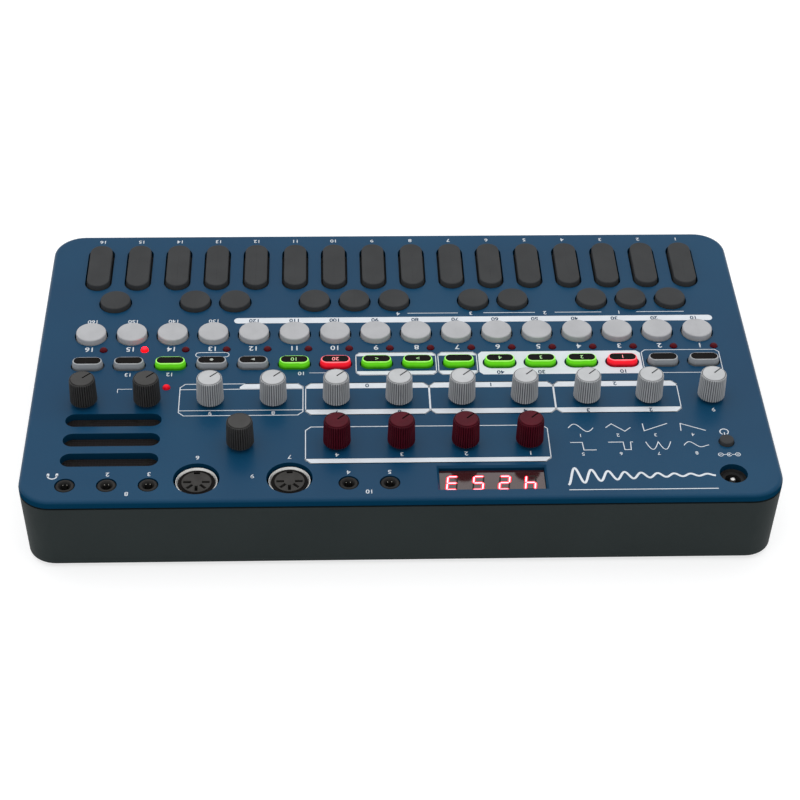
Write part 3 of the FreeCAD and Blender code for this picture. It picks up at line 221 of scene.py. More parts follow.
# %% Metals and the circuit board
def plated(name, colour, roughness, scratch=1.5):
    """Plated or rolled metal, with roughness that changes over scratch mm."""
    material, tree, place = new_material(name)
    smear = add(tree, "ShaderNodeTexNoise", {"Vector": place, "Scale": 1 / (scratch * MM), "Detail": 4.0})
    gloss = add(tree, "ShaderNodeMapRange", {"Value": smear.outputs[0], "To Min": roughness - 0.08,
                                             "To Max": roughness + 0.1})
    shader = add(tree, "ShaderNodeBsdfPrincipled", {
        "Base Color": linear(colour), "Metallic": 1.0, "Roughness": gloss.outputs[0]})
    add(tree, "ShaderNodeOutputMaterial", {0: shader.outputs[0]})
    return material


# The DIN shells: drawn steel with a dull nickel plate, which spreads the highlight along the lip.
nickel = plated("nickel_plate", "F6F5F2", 0.48)
# Screws: zinc plate turned black, which leaves a dark grey gleam.
screw_steel = plated("black_zinc_steel", "6A6C6E", 0.38)
# Contacts: bright spring steel, a little yellow.
contact_metal = plated("spring_steel_nickel", "C9C5BC", 0.3)
# Solder mask over glass fibre: a green gloss lacquer.
board_mask = moulded("solder_mask_green", "1F5A38", "1A4E30", 0.3, grain=1.2, depth=0.01, drift=8, coat=0.3)
print("metals:", nickel.name, screw_steel.name, contact_metal.name)

# %% [markdown]
# ## The CAD pieces that keep their shape
# A CAD mesh is loose triangles, so its round walls show as flat strips. A copy is merged at its
# doubles and shaded smooth up to an edge angle. The Weighted Normal modifier then keeps the large
# flat faces flat, and lets only the narrow roundings between them bend the light.

# %% Smooth copies of CAD nodes
BODY_OF = {node: body for body, nodes in frame["record"]["behaviour"]["bodies"].items() for node in nodes}
STATIC = "case"
# A face counts as level when its normal's height is over this
LEVEL = 0.99995
# Corners of the CAD triangles that lie this close, in mm, are one
CLOSE = 0.002


def shade_evenly(mesh, angle):
    """Smooth shading, but sharp over the angle and round every level face, which so stays flat."""
    mesh.shade_smooth()
    form = bmesh.new()
    form.from_mesh(mesh)
    form.normal_update()
    for edge in form.edges:
        level = [abs(face.normal.z) > LEVEL for face in edge.link_faces]
        bent = len(level) == 2 and edge.calc_face_angle(0.0) > math.radians(angle)
        edge.smooth = len(level) == 2 and level[0] == level[1] and not bent
    form.to_mesh(mesh)
    form.free()


def finish_piece(name, mesh, body, materials, replaced=(), angle=None):
    """An object for mesh, at the origin, riding on body and standing for the CAD nodes replaced."""
    for material in materials:
        mesh.materials.append(material)
    piece = bpy.data.objects.new(name, mesh)
    bpy.context.scene.collection.objects.link(piece)
    if angle is not None:
        shade_evenly(mesh, angle)
        piece.modifiers.new("even shading", "WEIGHTED_NORMAL").keep_sharp = True
    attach(piece, body)
    if replaced:
        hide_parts(*replaced)
    return piece


def smooth_copy(node, material, slot, angle=32):
    """The CAD node again, as one closed mesh with soft shading on its roundings."""
    mesh = frame["nodes"][node].data.copy()
    mesh.materials.clear()
    form = bmesh.new()
    form.from_mesh(mesh)
    bmesh.ops.remove_doubles(form, verts=form.verts, dist=CLOSE * MM)
    form.to_mesh(mesh)
    form.free()
    return finish_piece(node + "_shown", mesh, BODY_OF[node], [material], [node], angle)


KEPT = {
    "top_cover": (cover_paint, "cover_blue"),
    "bottom_case": (case_abs, "case_charcoal"),
    "battery_door": (case_abs, "case_charcoal"),
    "rubber_feet": (foot_rubber, "foot_rubber"),
    "case_screws": (screw_steel, "screw_steel"),
    "circuit_board": (board_mask, "board_green"),
    "potentiometers": (inner_plastic, "socket_black"),
    "panel_jacks": (socket_nylon, "socket_black"),
    "din_inserts": (insert_nylon, "socket_black"),
    "speaker": (speaker_paper, "speaker_paper"),
    "battery_contacts": (contact_metal, "contact_metal"),
    "led_display": (display_filter, "display_face"),
}
smooth_copies = {node: smooth_copy(node, *finish) for node, finish in KEPT.items()}
print("smooth copies:", len(smooth_copies))

# %% [markdown]
# ## How the small forms are drawn
# Forms are drawn in millimetres, with the panel's top at height zero, and scaled to metres at the
# end. Most start as one flat face with rounded corners, which is pushed up like clay through a
# cutter. A bevel on the top rim is the small radius that every moulded edge has.

# %% Places and small helpers
PANEL_TOP = 35.4
# A direction in which hardly any two points of a form are level, for sorting them
ORDER = Vector((1.0, 31.7, 977.3))
COLUMN_PITCH = 17.0
COLUMNS = [-127.5 + COLUMN_PITCH * k for k in range(16)]


def only(items, kind):
    """The vertices, edges or faces among what an operator returns."""
    return [item for item in items if isinstance(item, kind)]


def middle_of(node):
    """The middle of a CAD node's box, in mm."""
    low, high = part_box(node)
    return (low + high) / 2 / MM


def round_end(depth):
    """The corner radius that makes a face's end round: a hair less than half its depth."""
    return depth / 2 - 0.01


def as_mesh(name, form):
    """The form as a new mesh. The form is used up."""
    mesh = bpy.data.meshes.new(name)
    form.to_mesh(mesh)
    form.free()
    return mesh


print("columns of the panel:", len(COLUMNS), "from", COLUMNS[0], "to", COLUMNS[-1])

# %% Flat faces, pushed up
def flat_face(form, width, depth, place=(0.0, 0.0), level=0.0, corner=0.0, steps=8):
    """One flat face, width by depth, with its four corners rounded to a radius."""
    before = set(form.faces)
    corners = bmesh.ops.create_grid(form, x_segments=1, y_segments=1, size=0.5)["verts"]
    bmesh.ops.scale(form, verts=corners, vec=(width, depth, 1))
    bmesh.ops.translate(form, verts=corners, vec=(place[0], place[1], level))
    if corner:
        bmesh.ops.bevel(form, geom=corners, offset=corner, segments=steps, profile=0.5,
                        affect="VERTICES", material=-1)
    return (set(form.faces) - before).pop()


def push_up(form, face, height, rim=0.0, rim_steps=4, shrink=(1.0, 1.0)):
    """The face rises by height, its top drawn in by shrink, with its rim rounded to a radius."""
    top = only(bmesh.ops.extrude_face_region(form, geom=[face])["geom"], BMFace)[0]
    middle = top.calc_center_median()
    bmesh.ops.translate(form, verts=top.verts[:], vec=(0, 0, height))
    bmesh.ops.scale(form, verts=top.verts[:], vec=(*shrink, 1),
                    space=Matrix.Translation(-(middle + Vector((0, 0, height)))))
    if rim:
        bmesh.ops.bevel(form, geom=top.edges[:], offset=rim, segments=rim_steps, profile=0.5,
                        affect="EDGES", material=-1)


def metres(name, form, x=0.0, y=0.0, level=PANEL_TOP):
    """The form as a mesh in metres, closed, with its faces outwards, at its place on the panel."""
    bmesh.ops.remove_doubles(form, verts=form.verts, dist=0.0005)
    bmesh.ops.recalc_face_normals(form, faces=form.faces)
    # Operators leave their parts in an order that changes from run to run, so they are sorted
    form.verts.sort(key=lambda point: point.co.dot(ORDER))
    form.faces.sort(key=lambda face: face.calc_center_median().dot(ORDER))
    mesh = bpy.data.meshes.new(name)
    form.to_mesh(mesh)
    mesh.transform(Matrix.Scale(MM, 4) @ Matrix.Translation((x, y, level)))
    return mesh


def finish_form(name, form, body, materials, replaced=(), angle=None, place=(0.0, 0.0),
                level=PANEL_TOP):
    """A finished piece from a form in mm, which is used up."""
    mesh = metres(name, form, *place, level)
    form.free()
    return finish_piece(name, mesh, body, materials, replaced, angle)


print("a rounded corner has 8 steps and a rim has 4, unless told otherwise")

# %% [markdown]
# Round parts are turned, as on a lathe. A spin would do for most of them. A ring that is extruded
# upwards step by step does as well, and lets each step carry its own ribs, which the knobs need.

# %% Turned forms
def turned(form, profile, x=0.0, y=0.0, steps=48, ribs=(0.0,)):
    """A turned solid, closed at its foot and at its last ring. profile lists height and radius from
    the foot on. A third number is how far the ribs' valleys lie inside that radius, and a fourth
    is the painted shade that the whole ring gets, for a material that reads it. The ribs' valleys
    get painted shade by how deep in them each point lies, as well."""
    valley_shade = form.verts.layers.float.get("valley")
    ring = bmesh.ops.create_circle(form, segments=steps, radius=1.0)["verts"]
    edges = list(dict.fromkeys(edge for point in ring for edge in point.link_edges))
    foot, whole = edges, []
    for number, (level, radius, *more) in enumerate(profile):
        valley, ring_shade = (*more, 0.0, 0.0)[:2]
        if number:
            made = bmesh.ops.extrude_edge_only(form, edges=edges)["geom"]
            ring, edges = only(made, BMVert), only(made, BMEdge)
        for point in ring:
            angle = math.atan2(point.co.y, point.co.x)
            share = ribs[round(angle / math.tau * steps) % len(ribs)] if valley else 0.0
            reach = radius - valley * share
            point.co = (reach * math.cos(angle), reach * math.sin(angle), level)
            # Each point's painted shade: its place in the rib's valley, or the ring's own
            if valley_shade:
                point[valley_shade] = max(share, ring_shade)
        whole += ring
    bmesh.ops.contextual_create(form, geom=edges)
    bmesh.ops.contextual_create(form, geom=foot)
    bmesh.ops.translate(form, verts=whole, vec=(x, y, 0))


print("a turned form has 48 steps, unless told otherwise")

# %% [markdown]
# ## Keys
# The sixteen long keys and eleven round ones are silicone rubber over a flange that the panel
# holds down. The top rim has a radius of half a millimetre, and the wall below it leans in a little.

# %% The flange and the stems under the panel
FLANGE_TOP = -3.35
FLANGE_THICKNESS = 1.2
STEM_WIDTH = 4.0
STEM_END = -12.7
# How far the parts of one moulding reach into each other
OVERLAP = 0.1


def under_panel(form, node, places, stem_depth=STEM_WIDTH):
    """The flange, as large as the CAD node, that joins the caps, and a stem below each of them."""
    low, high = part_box(node)
    foot = FLANGE_TOP - FLANGE_THICKNESS
    flange = flat_face(form, (high.x - low.x) / MM, (high.y - low.y) / MM, (0.0, places[0][1]), foot)
    push_up(form, flange, FLANGE_THICKNESS)
    for place in places:
        stem = flat_face(form, STEM_WIDTH, stem_depth, place, STEM_END)
        push_up(form, stem, foot + OVERLAP - STEM_END)


print("flange under the panel by", -FLANGE_TOP, "mm, stems down to", STEM_END)

# %% Long keys and round keys
KEY_RISE = 2.1
LONG_KEY = (9.9, 30.2)
ROUND_KEY = (13.0, 13.0)


def pressed_key(node, width, depth, stem_depth=STEM_WIDTH):
    """A key cap over its flange and stem, on the spot of the CAD node."""
    form = bmesh.new()
    under_panel(form, node, [(0.0, 0.0)], stem_depth)
    cap = flat_face(form, width, depth, level=FLANGE_TOP - OVERLAP, corner=round_end(width), steps=12)
    push_up(form, cap, KEY_RISE - FLANGE_TOP + OVERLAP, rim=0.5, rim_steps=5, shrink=(0.975, 0.99))
    finish_form(node + "_cap", form, BODY_OF[node], [key_rubber], [node], 40,
                place=middle_of(node).xy)


for node in sorted(frame["nodes"]):
    if node.startswith("natural_key"):
        pressed_key(node, *LONG_KEY, stem_depth=12.0)
    elif node.startswith("sharp_key"):
        pressed_key(node, *ROUND_KEY)
print("long and round keys stand", KEY_RISE, "mm over the panel")

# %% [markdown]
# ## Power button
# A small round rubber cap stands in a hole of its own, with a collar below that keeps it in. All
# its outlines are circles, so it is turned in one go from its foot to its rim.

# %% The power button
low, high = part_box("power_button")
POWER_BUTTON = middle_of("power_button")
reach, rise = (high.x - low.x) / 2 / MM, high.z / MM - PANEL_TOP
form = bmesh.new()
turned(form, ((low.z / MM - PANEL_TOP, reach), (-4.0, reach), (-3.9, 2.9), (rise - 0.6, 2.85),
              (rise - 0.3, 2.75), (rise - 0.12, 2.5), (rise - 0.08, 2.2)), steps=40)
finish_form("power_cap", form, BODY_OF["power_button"], [key_rubber], ["power_button"], 40,
            place=POWER_BUTTON.xy)
print("power button:", round(rise, 2), "mm over the panel")

# %% [markdown]
# ## Step buttons
# One silicone moulding carries all sixteen: a strip under the panel joins them, so that they can
# be laid in together. Each cap is a low drum with a soft rim.

# %% Step buttons on their strip
STEP_Y = -15.5
STEP_RISE = 2.3
STEP_WIDTH = 12.8

form = bmesh.new()
under_panel(form, "step_button_mat", [(x, STEP_Y) for x in COLUMNS])
for x in COLUMNS:
    cap = flat_face(form, STEP_WIDTH, STEP_WIDTH, (x, STEP_Y), FLANGE_TOP - OVERLAP,
                    corner=round_end(STEP_WIDTH), steps=12)
    push_up(form, cap, STEP_RISE - FLANGE_TOP + OVERLAP, rim=0.55, rim_steps=5, shrink=(0.97, 0.97))
finish_form("step_buttons", form, "step_buttons_body", [button_rubber],
            ["step_button_mat"], 40)
print("step buttons:", len(COLUMNS), "caps,", STEP_RISE, "mm over the panel")

# %% [markdown]
# ## Function buttons
# These are clear silicone caps over coloured lamps. A printed black window on top carries a mark,
# and the light shows in the rim and the sloping side round it. A ramp on height colours each cap
# and its glow: painted shade towards the panel, and a painted highlight on the rim.

# %% The finishes of the caps
FUNCTION_Y = 4.6
FUNCTION_RISE = 2.8


def lit_silicone(name, rim, side, foot, strength):
    """Silicone over a lamp: the foot's colour at the panel as painted shade, the side's above it, and a pale
    rim as a painted highlight.
    """
    material, tree, place = new_material(name)
    height = add(tree, "ShaderNodeSeparateXYZ", {0: place}).outputs["Z"]
    rise = add(tree, "ShaderNodeMapRange", {"Value": height, "From Min": (PANEL_TOP + 0.2) * MM,
                                            "From Max": (PANEL_TOP + FUNCTION_RISE + 0.1) * MM})
    uneven = add(tree, "ShaderNodeTexNoise", {"Vector": place, "Scale": 1 / (3.0 * MM), "Detail": 1.0})
    share = add(tree, "ShaderNodeMath", {0: uneven.outputs[0], 1: 0.16, 2: rise.outputs[0]},
                operation="MULTIPLY_ADD")
    painted_light_ramp = add(tree, "ShaderNodeValToRGB", {0: share.outputs[0]})
    # Painted shade at the foot, one colour over the side, and a painted highlight at the rim
    stops = painted_light_ramp.color_ramp.elements
    stops[0].position, stops[0].color = 0.05, linear(foot)
    stops[1].position, stops[1].color = 1.0, linear(rim)
    for position in (0.6, 0.88):
        stops.new(position).color = linear(side)
    shader = add(tree, "ShaderNodeBsdfPrincipled", {
        "Base Color": painted_light_ramp.outputs[0], "Emission Color": painted_light_ramp.outputs[0], "Emission Strength": strength,
        "Roughness": 0.4, "IOR": 1.41, "Specular IOR Level": 0.15})
    add(tree, "ShaderNodeOutputMaterial", {0: shader.outputs[0]})
    return material


# Clear silicone over a green, a red and no lamp. It is softer and less shiny than glass.
cap_green = lit_silicone("lit_silicone_green", "98E262", "5EC81A", "266E08", 0.46)
cap_red = lit_silicone("lit_silicone_red", "FF7078", "E81C2C", "800412", 0.6)
# The grey cap has no lamp: its darker foot and paler rim are painted shade and highlight only.
cap_grey = lit_silicone("clear_silicone_grey", "B0B2B4", "A0A3A6", "74777A", 0.0)
# The window: black screen ink, printed from below, so that it is flat and dull.
window_black = moulded("screen_printed_black", "191615", "141212", 0.5, grain=0.6, depth=0.004, drift=6,
                       shine=0.05)
# The marks: gaps in the ink, through which the silicone shows pale, or in its lamp's colour.
mark_pale = moulded("clear_window_pale", "B9BDB6", "AEB2AB", 0.5, grain=0.6, depth=0.004, drift=3)
mark_green = lit_silicone("lit_window_green", *("A8D890",) * 3, 0.4)
mark_red = lit_silicone("lit_window_red", *("FF9A9A",) * 3, 0.5)
print("cap finishes:", cap_green.name, cap_red.name, cap_grey.name)

# %% Caps and windows of the function buttons
GREEN, RED, GREY = "green", "red", "grey"
# The light in each cap, from the first column on
LIGHTS = [GREY, GREY, RED, GREEN, GREEN, GREEN, GREEN, GREEN, GREEN, RED, GREEN,
          GREY, GREY, GREEN, GREY, GREY]
CAP_PAINT = {GREEN: cap_green, RED: cap_red, GREY: cap_grey}
CAP_WIDTH, CAP_DEPTH = 12.8, 6.2
# The cap's upright foot ends at one height, and its sloping side starts a little lower, inside it
FOOT_RISE, SIDE_START = 0.7, 0.6
WINDOW = (11.0, 4.1)
WINDOW_RISE = 0.06

for light, paint in CAP_PAINT.items():
    form = bmesh.new()
    if light == GREY:
        under_panel(form, "function_button_mat", [(x, FUNCTION_Y) for x in COLUMNS])
    for x, own_light in zip(COLUMNS, LIGHTS):
        if own_light == light:
            for width, depth, start, end, shape in (
                    (CAP_WIDTH, CAP_DEPTH, FLANGE_TOP - OVERLAP, FOOT_RISE, {}),
                    (CAP_WIDTH - 0.02, CAP_DEPTH - 0.02, SIDE_START, FUNCTION_RISE,
                     {"rim": 0.3, "shrink": (0.93, 0.79)})):
                cap = flat_face(form, width, depth, (x, FUNCTION_Y), start, corner=round_end(depth), steps=10)
                push_up(form, cap, end - start, **shape)
    finish_form("function_buttons_" + light, form, "function_buttons_body",
                [paint], ["function_button_mat"], 40)

form = bmesh.new()
for x in COLUMNS:
    window = flat_face(form, *WINDOW, (x, FUNCTION_Y), FUNCTION_RISE - OVERLAP, corner=2.0)
    push_up(form, window, OVERLAP + WINDOW_RISE, rim=WINDOW_RISE, rim_steps=2)
finish_form("function_windows", form, "function_buttons_body", [window_black],
            ["function_button_mat"], 40)
print("function buttons:", {light: LIGHTS.count(light) for light in CAP_PAINT})

# %% [markdown]
# ## Marks
# A mark is a gap in the window's ink, through which the light comes. Cut out of the window it would
# leave many thin faces, so it lies on the ink instead, as a plate 0.02 mm thick in the colour of its
# light. The print on the panel needs the same two helpers.

# %% Lettering and thickness
def lettering(form, text, size, x, y, weight=0.0):
    """The text as flat faces in the form, its middle at x, y."""
    curve = bpy.data.curves.new("text", "FONT")
    curve.body = text
    curve.size = size
    curve.offset = weight
    curve.align_x = "CENTER"
    curve.align_y = "CENTER"
    holder = bpy.data.objects.new("text", curve)
    bpy.context.scene.collection.objects.link(holder)
    flat = bpy.data.meshes.new_from_object(holder.evaluated_get(bpy.context.evaluated_depsgraph_get()))
    flat.transform(Matrix.Translation((x, y, 0.0)))
    form.from_mesh(flat)
    bpy.data.objects.remove(holder)
    bpy.data.curves.remove(curve)
    bpy.data.meshes.remove(flat)


def thicken(form, height):
    """Every flat face in the form gets a thickness."""
    rising = only(bmesh.ops.extrude_face_region(form, geom=form.faces[:])["geom"], BMVert)
    bmesh.ops.translate(form, verts=rising, vec=(0, 0, height))


print("letters are drawn in Blender's own font")

# %% Marks in the windows
# The marks by column. The windows that have none stay bare.
MARKS = {2: "1", 3: "2", 4: "3", 5: "4", 7: ">", 8: "<", 9: "20", 10: "10"}
MARK_PAINT = {GREEN: mark_green, RED: mark_red, GREY: mark_pale}
ARROW_COLUMN, DOT_COLUMN = COLUMNS[11], COLUMNS[12]
SIGN_WIDTH = 1.5

for light, paint in MARK_PAINT.items():
    form = bmesh.new()
    for k, text in MARKS.items():
        if LIGHTS[k] == light:
            lettering(form, text, 3.0, COLUMNS[k], FUNCTION_Y)
    if light == GREY:
        arrow = flat_face(form, SIGN_WIDTH, SIGN_WIDTH, (ARROW_COLUMN, FUNCTION_Y))
        tip = sorted(arrow.verts, key=lambda v: (-v.co.x, v.co.y))[:2]
        bmesh.ops.pointmerge(form, verts=tip, merge_co=(ARROW_COLUMN + 0.9, FUNCTION_Y, 0))
        flat_face(form, SIGN_WIDTH, SIGN_WIDTH, (DOT_COLUMN, FUNCTION_Y),
                  corner=round_end(SIGN_WIDTH), steps=5)
    thicken(form, 0.02)
    finish_form("function_marks_" + light, form, "function_buttons_body", [paint],
                level=PANEL_TOP + FUNCTION_RISE + WINDOW_RISE)
print("marks:", len(MARKS), "and two signs")

# %% [markdown]
# ## Knobs
# Each knob is pressed on a 6 mm shaft. Thirty-four fine ribs give the fingers grip: they run up
# the side to a narrow shoulder, on which lies a smooth disc with a fine step round it.
# The pointer is a real groove, cut here by a Boolean, and its faces, found by where they lie, get painted
# shade.

# %% The knob form
RIBS = 34
KNOB_STAND = 1.6
KNOB_TOP = 12.6
# Where the four points of a rib lie, from 0 on the crest to 1 in the valley, which also sets their painted
# shade
RIB_POINTS = (1.0, 0.3, 0.0, 0.3)
# The wall: height, radius and depth of the valleys in mm, and painted shade from 0 to 1. Over the ribs
# lies a narrow shoulder, and on it a disc with a fine groove round it, which gets painted shade.
KNOB_WALL = ((KNOB_STAND, 5.42, 0.4), (KNOB_STAND + 0.25, 5.5, 0.55), (11.5, 5.22, 0.55), (11.95, 5.14, 0.35),
             (12.25, 4.98), (12.3, 4.82), (12.0, 4.76, 0.0, 0.9), (12.0, 4.56, 0.0, 0.9), (12.45, 4.5),
             (KNOB_TOP, 4.3))
# The pointer's groove, drawn along +X from near the middle and then turned
POINTER_TURN = math.radians(225)
POINTER_START, POINTER_LENGTH, POINTER_WIDTH, POINTER_DEPTH = 0.3, 6.0, 0.6, 0.5
SHAFT_WIDTH = 6.0
SHAFT_END = -7.5


def cut_away(mesh, cutter):
    """mesh less the cutter's volume, by an exact Boolean."""
    block, tool = [bpy.data.objects.new("block", shape) for shape in (mesh, cutter)]
    for item in (block, tool):
        bpy.context.scene.collection.objects.link(item)
    cut = block.modifiers.new("cut", "BOOLEAN")
    cut.operation = "DIFFERENCE"
    cut.solver = "EXACT"
    cut.object = tool
    result = bpy.data.meshes.new_from_object(block.evaluated_get(bpy.context.evaluated_depsgraph_get()))
    for item in (block, tool):
        bpy.data.objects.remove(item)
    return result


def knob_form(name, pointer):
    """A knob in mm over the panel's top, its pointer groove in the second material."""
    form = bmesh.new()
    # The valley layer carries painted shade into the ribs' valleys and the groove round the disc
    form.verts.layers.float.new("valley")
    turned(form, KNOB_WALL, steps=RIBS * len(RIB_POINTS), ribs=RIB_POINTS)
    bmesh.ops.recalc_face_normals(form, faces=form.faces)
    mesh = as_mesh(name, form)
    along = Matrix.Rotation(POINTER_TURN, 4, "Z")
    if pointer:
        form = bmesh.new()
        groove = flat_face(form, POINTER_LENGTH, POINTER_WIDTH, (POINTER_START + POINTER_LENGTH / 2, 0.0),
                           KNOB_TOP - POINTER_DEPTH)
        push_up(form, groove, 2 * POINTER_DEPTH)
        bmesh.ops.recalc_face_normals(form, faces=form.faces)
        cutter = as_mesh("groove", form)
        cutter.transform(along)
        mesh = cut_away(mesh, cutter)
    # The groove's faces are those that lie in it and are upright or level
    form = bmesh.new()
    form.from_mesh(mesh)
    back = along.inverted()
    for face in form.faces:
        middle = back @ face.calc_center_median()
        level = KNOB_TOP - POINTER_DEPTH - 0.05 < middle.z < KNOB_TOP - 0.02
        inside = abs(middle.y) < POINTER_WIDTH / 2 + 0.02 and POINTER_START - 0.1 < middle.x < 5.4
        square = abs(face.normal.z) < 0.1 or face.normal.z > 0.99
        face.material_index = 1 if pointer and level and inside and square else 0
    shaft = flat_face(form, SHAFT_WIDTH, SHAFT_WIDTH, level=SHAFT_END, corner=round_end(SHAFT_WIDTH))
    shaft.material_index = 2
    push_up(form, shaft, KNOB_STAND - SHAFT_END + OVERLAP)
    return form


print("knob:", RIBS, "ribs,", KNOB_TOP - KNOB_STAND, "mm high")

# %% [markdown]
# The fifteen knobs with a pointer come from one mould and differ only in the colour of the plastic,
# so one form serves them all. The encoder turns without end and has no pointer.

# %% Sixteen knobs
# The pointer's groove is coloured darker than the knob, as painted shade: grey on the pale knobs, black on
# the others.
groove_shade_grey = moulded("groove_painted_shade_grey", "808284", "78797B", 0.6, grain=0.4, depth=0.01, drift=2)
groove_shade_black = moulded("groove_painted_shade_black", "161616", "121212", 0.6, grain=0.4, depth=0.01, drift=2)
# Shafts: aluminium from the lathe, brighter than steel.
shaft_metal = plated("turned_aluminium", "A9ABAD", 0.35)
KNOB_FINISH = {"knob_grey": (knob_pale, groove_shade_grey), "knob_dark": (knob_dark, groove_shade_black),
               "knob_maroon": (knob_maroon, groove_shade_black)}
DARK_KNOBS = ("front_knob_10", "front_knob_11", "encoder_knob")
KNOBS = {node: middle_of(node) for node in sorted(frame["nodes"]) if "knob" in node}
pointed = knob_form("pointed_knob", True)
plain = knob_form("plain_knob", False)
for node, middle in KNOBS.items():
    slot = "knob_dark" if node in DARK_KNOBS else "knob_maroon" if node.startswith("rear") else "knob_grey"
    mesh = metres(node + "_ribbed", plain if node == "encoder_knob" else pointed, *middle.xy)
    finish_piece(node + "_ribbed", mesh, BODY_OF[node], [*KNOB_FINISH[slot], shaft_metal],
                 [node], 28)
print("ribbed knobs:", len(KNOBS), "with", len(mesh.polygons), "faces each")
pointed.free()
plain.free()

# %% [markdown]
# ## Lamps
# Each lamp is a low epoxy dome, 3.2 mm wide. Unlit, it is a dark red; lit, it is far brighter than
# anything near it, so its middle burns out and it throws a red light on the panel round it.

# %% Dyed epoxy
def dyed_epoxy(name, colour, strength, crown=0.0):
    """Clear epoxy with a dye, lit by a chip below it when strength is over zero. crown is how much
    more light leaves the very top, over the chip."""
    material, tree, place = new_material(name)
    cloud = add(tree, "ShaderNodeTexNoise", {"Vector": place, "Scale": 1 / (1.2 * MM), "Detail": 1.0})
    darker = tuple(0.55 * v for v in linear(colour)[:3]) + (1.0,)
    tone = add(tree, "ShaderNodeMix", {0: cloud.outputs[0], 6: linear(colour), 7: darker}, data_type="RGBA")
    height = add(tree, "ShaderNodeSeparateXYZ", {0: place}).outputs["Z"]
    light = add(tree, "ShaderNodeMapRange", {"Value": height, "From Min": (PANEL_TOP + 0.75) * MM,
                                             "From Max": (PANEL_TOP + 1.25) * MM, "To Min": strength,
                                             "To Max": strength + crown})
    shader = add(tree, "ShaderNodeBsdfPrincipled", {
        "Base Color": tone.outputs[2], "Roughness": 0.25, "IOR": 1.55, "Specular IOR Level": 0.12,
        "Emission Color": linear(colour), "Emission Strength": light.outputs[0]})
    add(tree, "ShaderNodeOutputMaterial", {0: shader.outputs[0]})
    return material


# Red epoxy over a dead chip, over a bright one, and over one that is almost out
lamp_dark = dyed_epoxy("dyed_epoxy_red", "5E0214", 0.0)
lamp_bright = dyed_epoxy("dyed_epoxy_red_lit", "FF060C", 2.2, crown=20.0)
lamp_dim = dyed_epoxy("dyed_epoxy_red_dim", "B8041A", 0.5, crown=0.9)
print("lamp finishes:", lamp_dark.name, lamp_bright.name, lamp_dim.name)

# %% [markdown]
# A dome is a sphere pressed low, cut off level with the panel by a bisect. Its barrel goes on down
# through the hole, as a real lamp's does, so that no gap shows round it.

# %% Lamps
LAMP_Y = -5.6
# Each step lamp stands this far beside the middle of its button
LAMP_SHIFT = -5.8
LAMP_RISE = 1.3
LAMP_RADIUS = 1.6
BARREL = 5.0
BEAT_PLACE = (94.4, 19.2)
LIT_COLUMN = 14


def lamp_dome(form, x, y):
    """A low dome of epoxy over the panel, with its barrel going down through the hole."""
    before = set(form.verts)
    ball = bmesh.ops.create_uvsphere(form, u_segments=24, v_segments=12, radius=LAMP_RADIUS)["verts"]
    bmesh.ops.scale(form, verts=ball, vec=(1, 1, LAMP_RISE / LAMP_RADIUS))
    faces = list(dict.fromkeys(face for point in ball for face in point.link_faces))
    edges = list(dict.fromkeys(edge for point in ball for edge in point.link_edges))
    made = bmesh.ops.bisect_plane(form, geom=[*ball, *edges, *faces], plane_co=(0, 0, 0),
                                  plane_no=(0, 0, -1), clear_outer=True)
    made = bmesh.ops.extrude_edge_only(form, edges=only(made["geom_cut"], BMEdge))["geom"]
    bmesh.ops.translate(form, verts=only(made, BMVert), vec=(0, 0, -BARREL))
    bmesh.ops.contextual_create(form, geom=only(made, BMEdge))
    bmesh.ops.translate(form, verts=list(set(form.verts) - before), vec=(x, y, 0))


lamps = [(x + LAMP_SHIFT, LAMP_Y) for x in COLUMNS]
lit_lamp = lamps.pop(LIT_COLUMN)
for name, places, finish in (("lamps_unlit", lamps, lamp_dark), ("lamp_lit", [lit_lamp], lamp_bright),
                             ("lamp_beat", [BEAT_PLACE], lamp_dim)):
    form = bmesh.new()
    for place in places:
        lamp_dome(form, *place)
    finish_form(name, form, STATIC, [finish], ["panel_lamps"], 50)
print("lamps:", len(COLUMNS) + 1)

# %% [markdown]
# ## Display
# Four characters of seven bars each shine through a dark filter. They are drawn as thin plates
# on its face. A bar is a flat hexagon: a rectangle whose corners are chamfered. Unlit bars show
# faintly.

# %% The characters
# Lit bars: a chip's red through clear resin, nearly white at its core. Round each, a wider glowing plate
# paints a red haze of light on the face.
bar_lit = dyed_epoxy("clear_resin_red_lit", "FF8E9A", 3.2)
bar_painted_glow = dyed_epoxy("painted_red_glow", "DC061C", 1.8)
# Unlit bars: milky resin, seen through the smoked filter.
bar_unlit = moulded("milky_resin_unlit", "332C29", "2F2826", 0.3, grain=0.8, depth=0.004, drift=4)
DISPLAY_PLACE = (-34.4, 76.9)
FACE_LEVEL = -2.0
CHARACTER_PITCH = 10.2
BAR_LENGTH = 3.4
BAR_WIDTH = 0.65
BAR_GAP = 0.17
PAINTED_GLOW_SPREAD = 0.75
SLANT = 0.12
# Which of the seven bars each character lights: top, upper right, lower right, foot, lower left,
# upper left, middle
CHARACTERS = {"2": "1101101", "3": "1111001", "4": "0110011", "5": "1011011"}
READING = "4253"
half = BAR_LENGTH / 2 + BAR_GAP
# The middle of each bar, and whether it stands upright
BARS = [(0, 2 * half, False), (half, half, True), (half, -half, True), (0, -2 * half, False),
        (-half, -half, True), (-half, half, True), (0, 0, False)]


def bar(form, x, y, upright, spread=0.0):
    """One bar of a character, as a hexagon lying on the display's face."""
    length, width = BAR_LENGTH + spread, BAR_WIDTH + spread
    size = (width, length) if upright else (length, width)
    flat_face(form, *size, (x, y), corner=width / 2 - 0.02, steps=1)


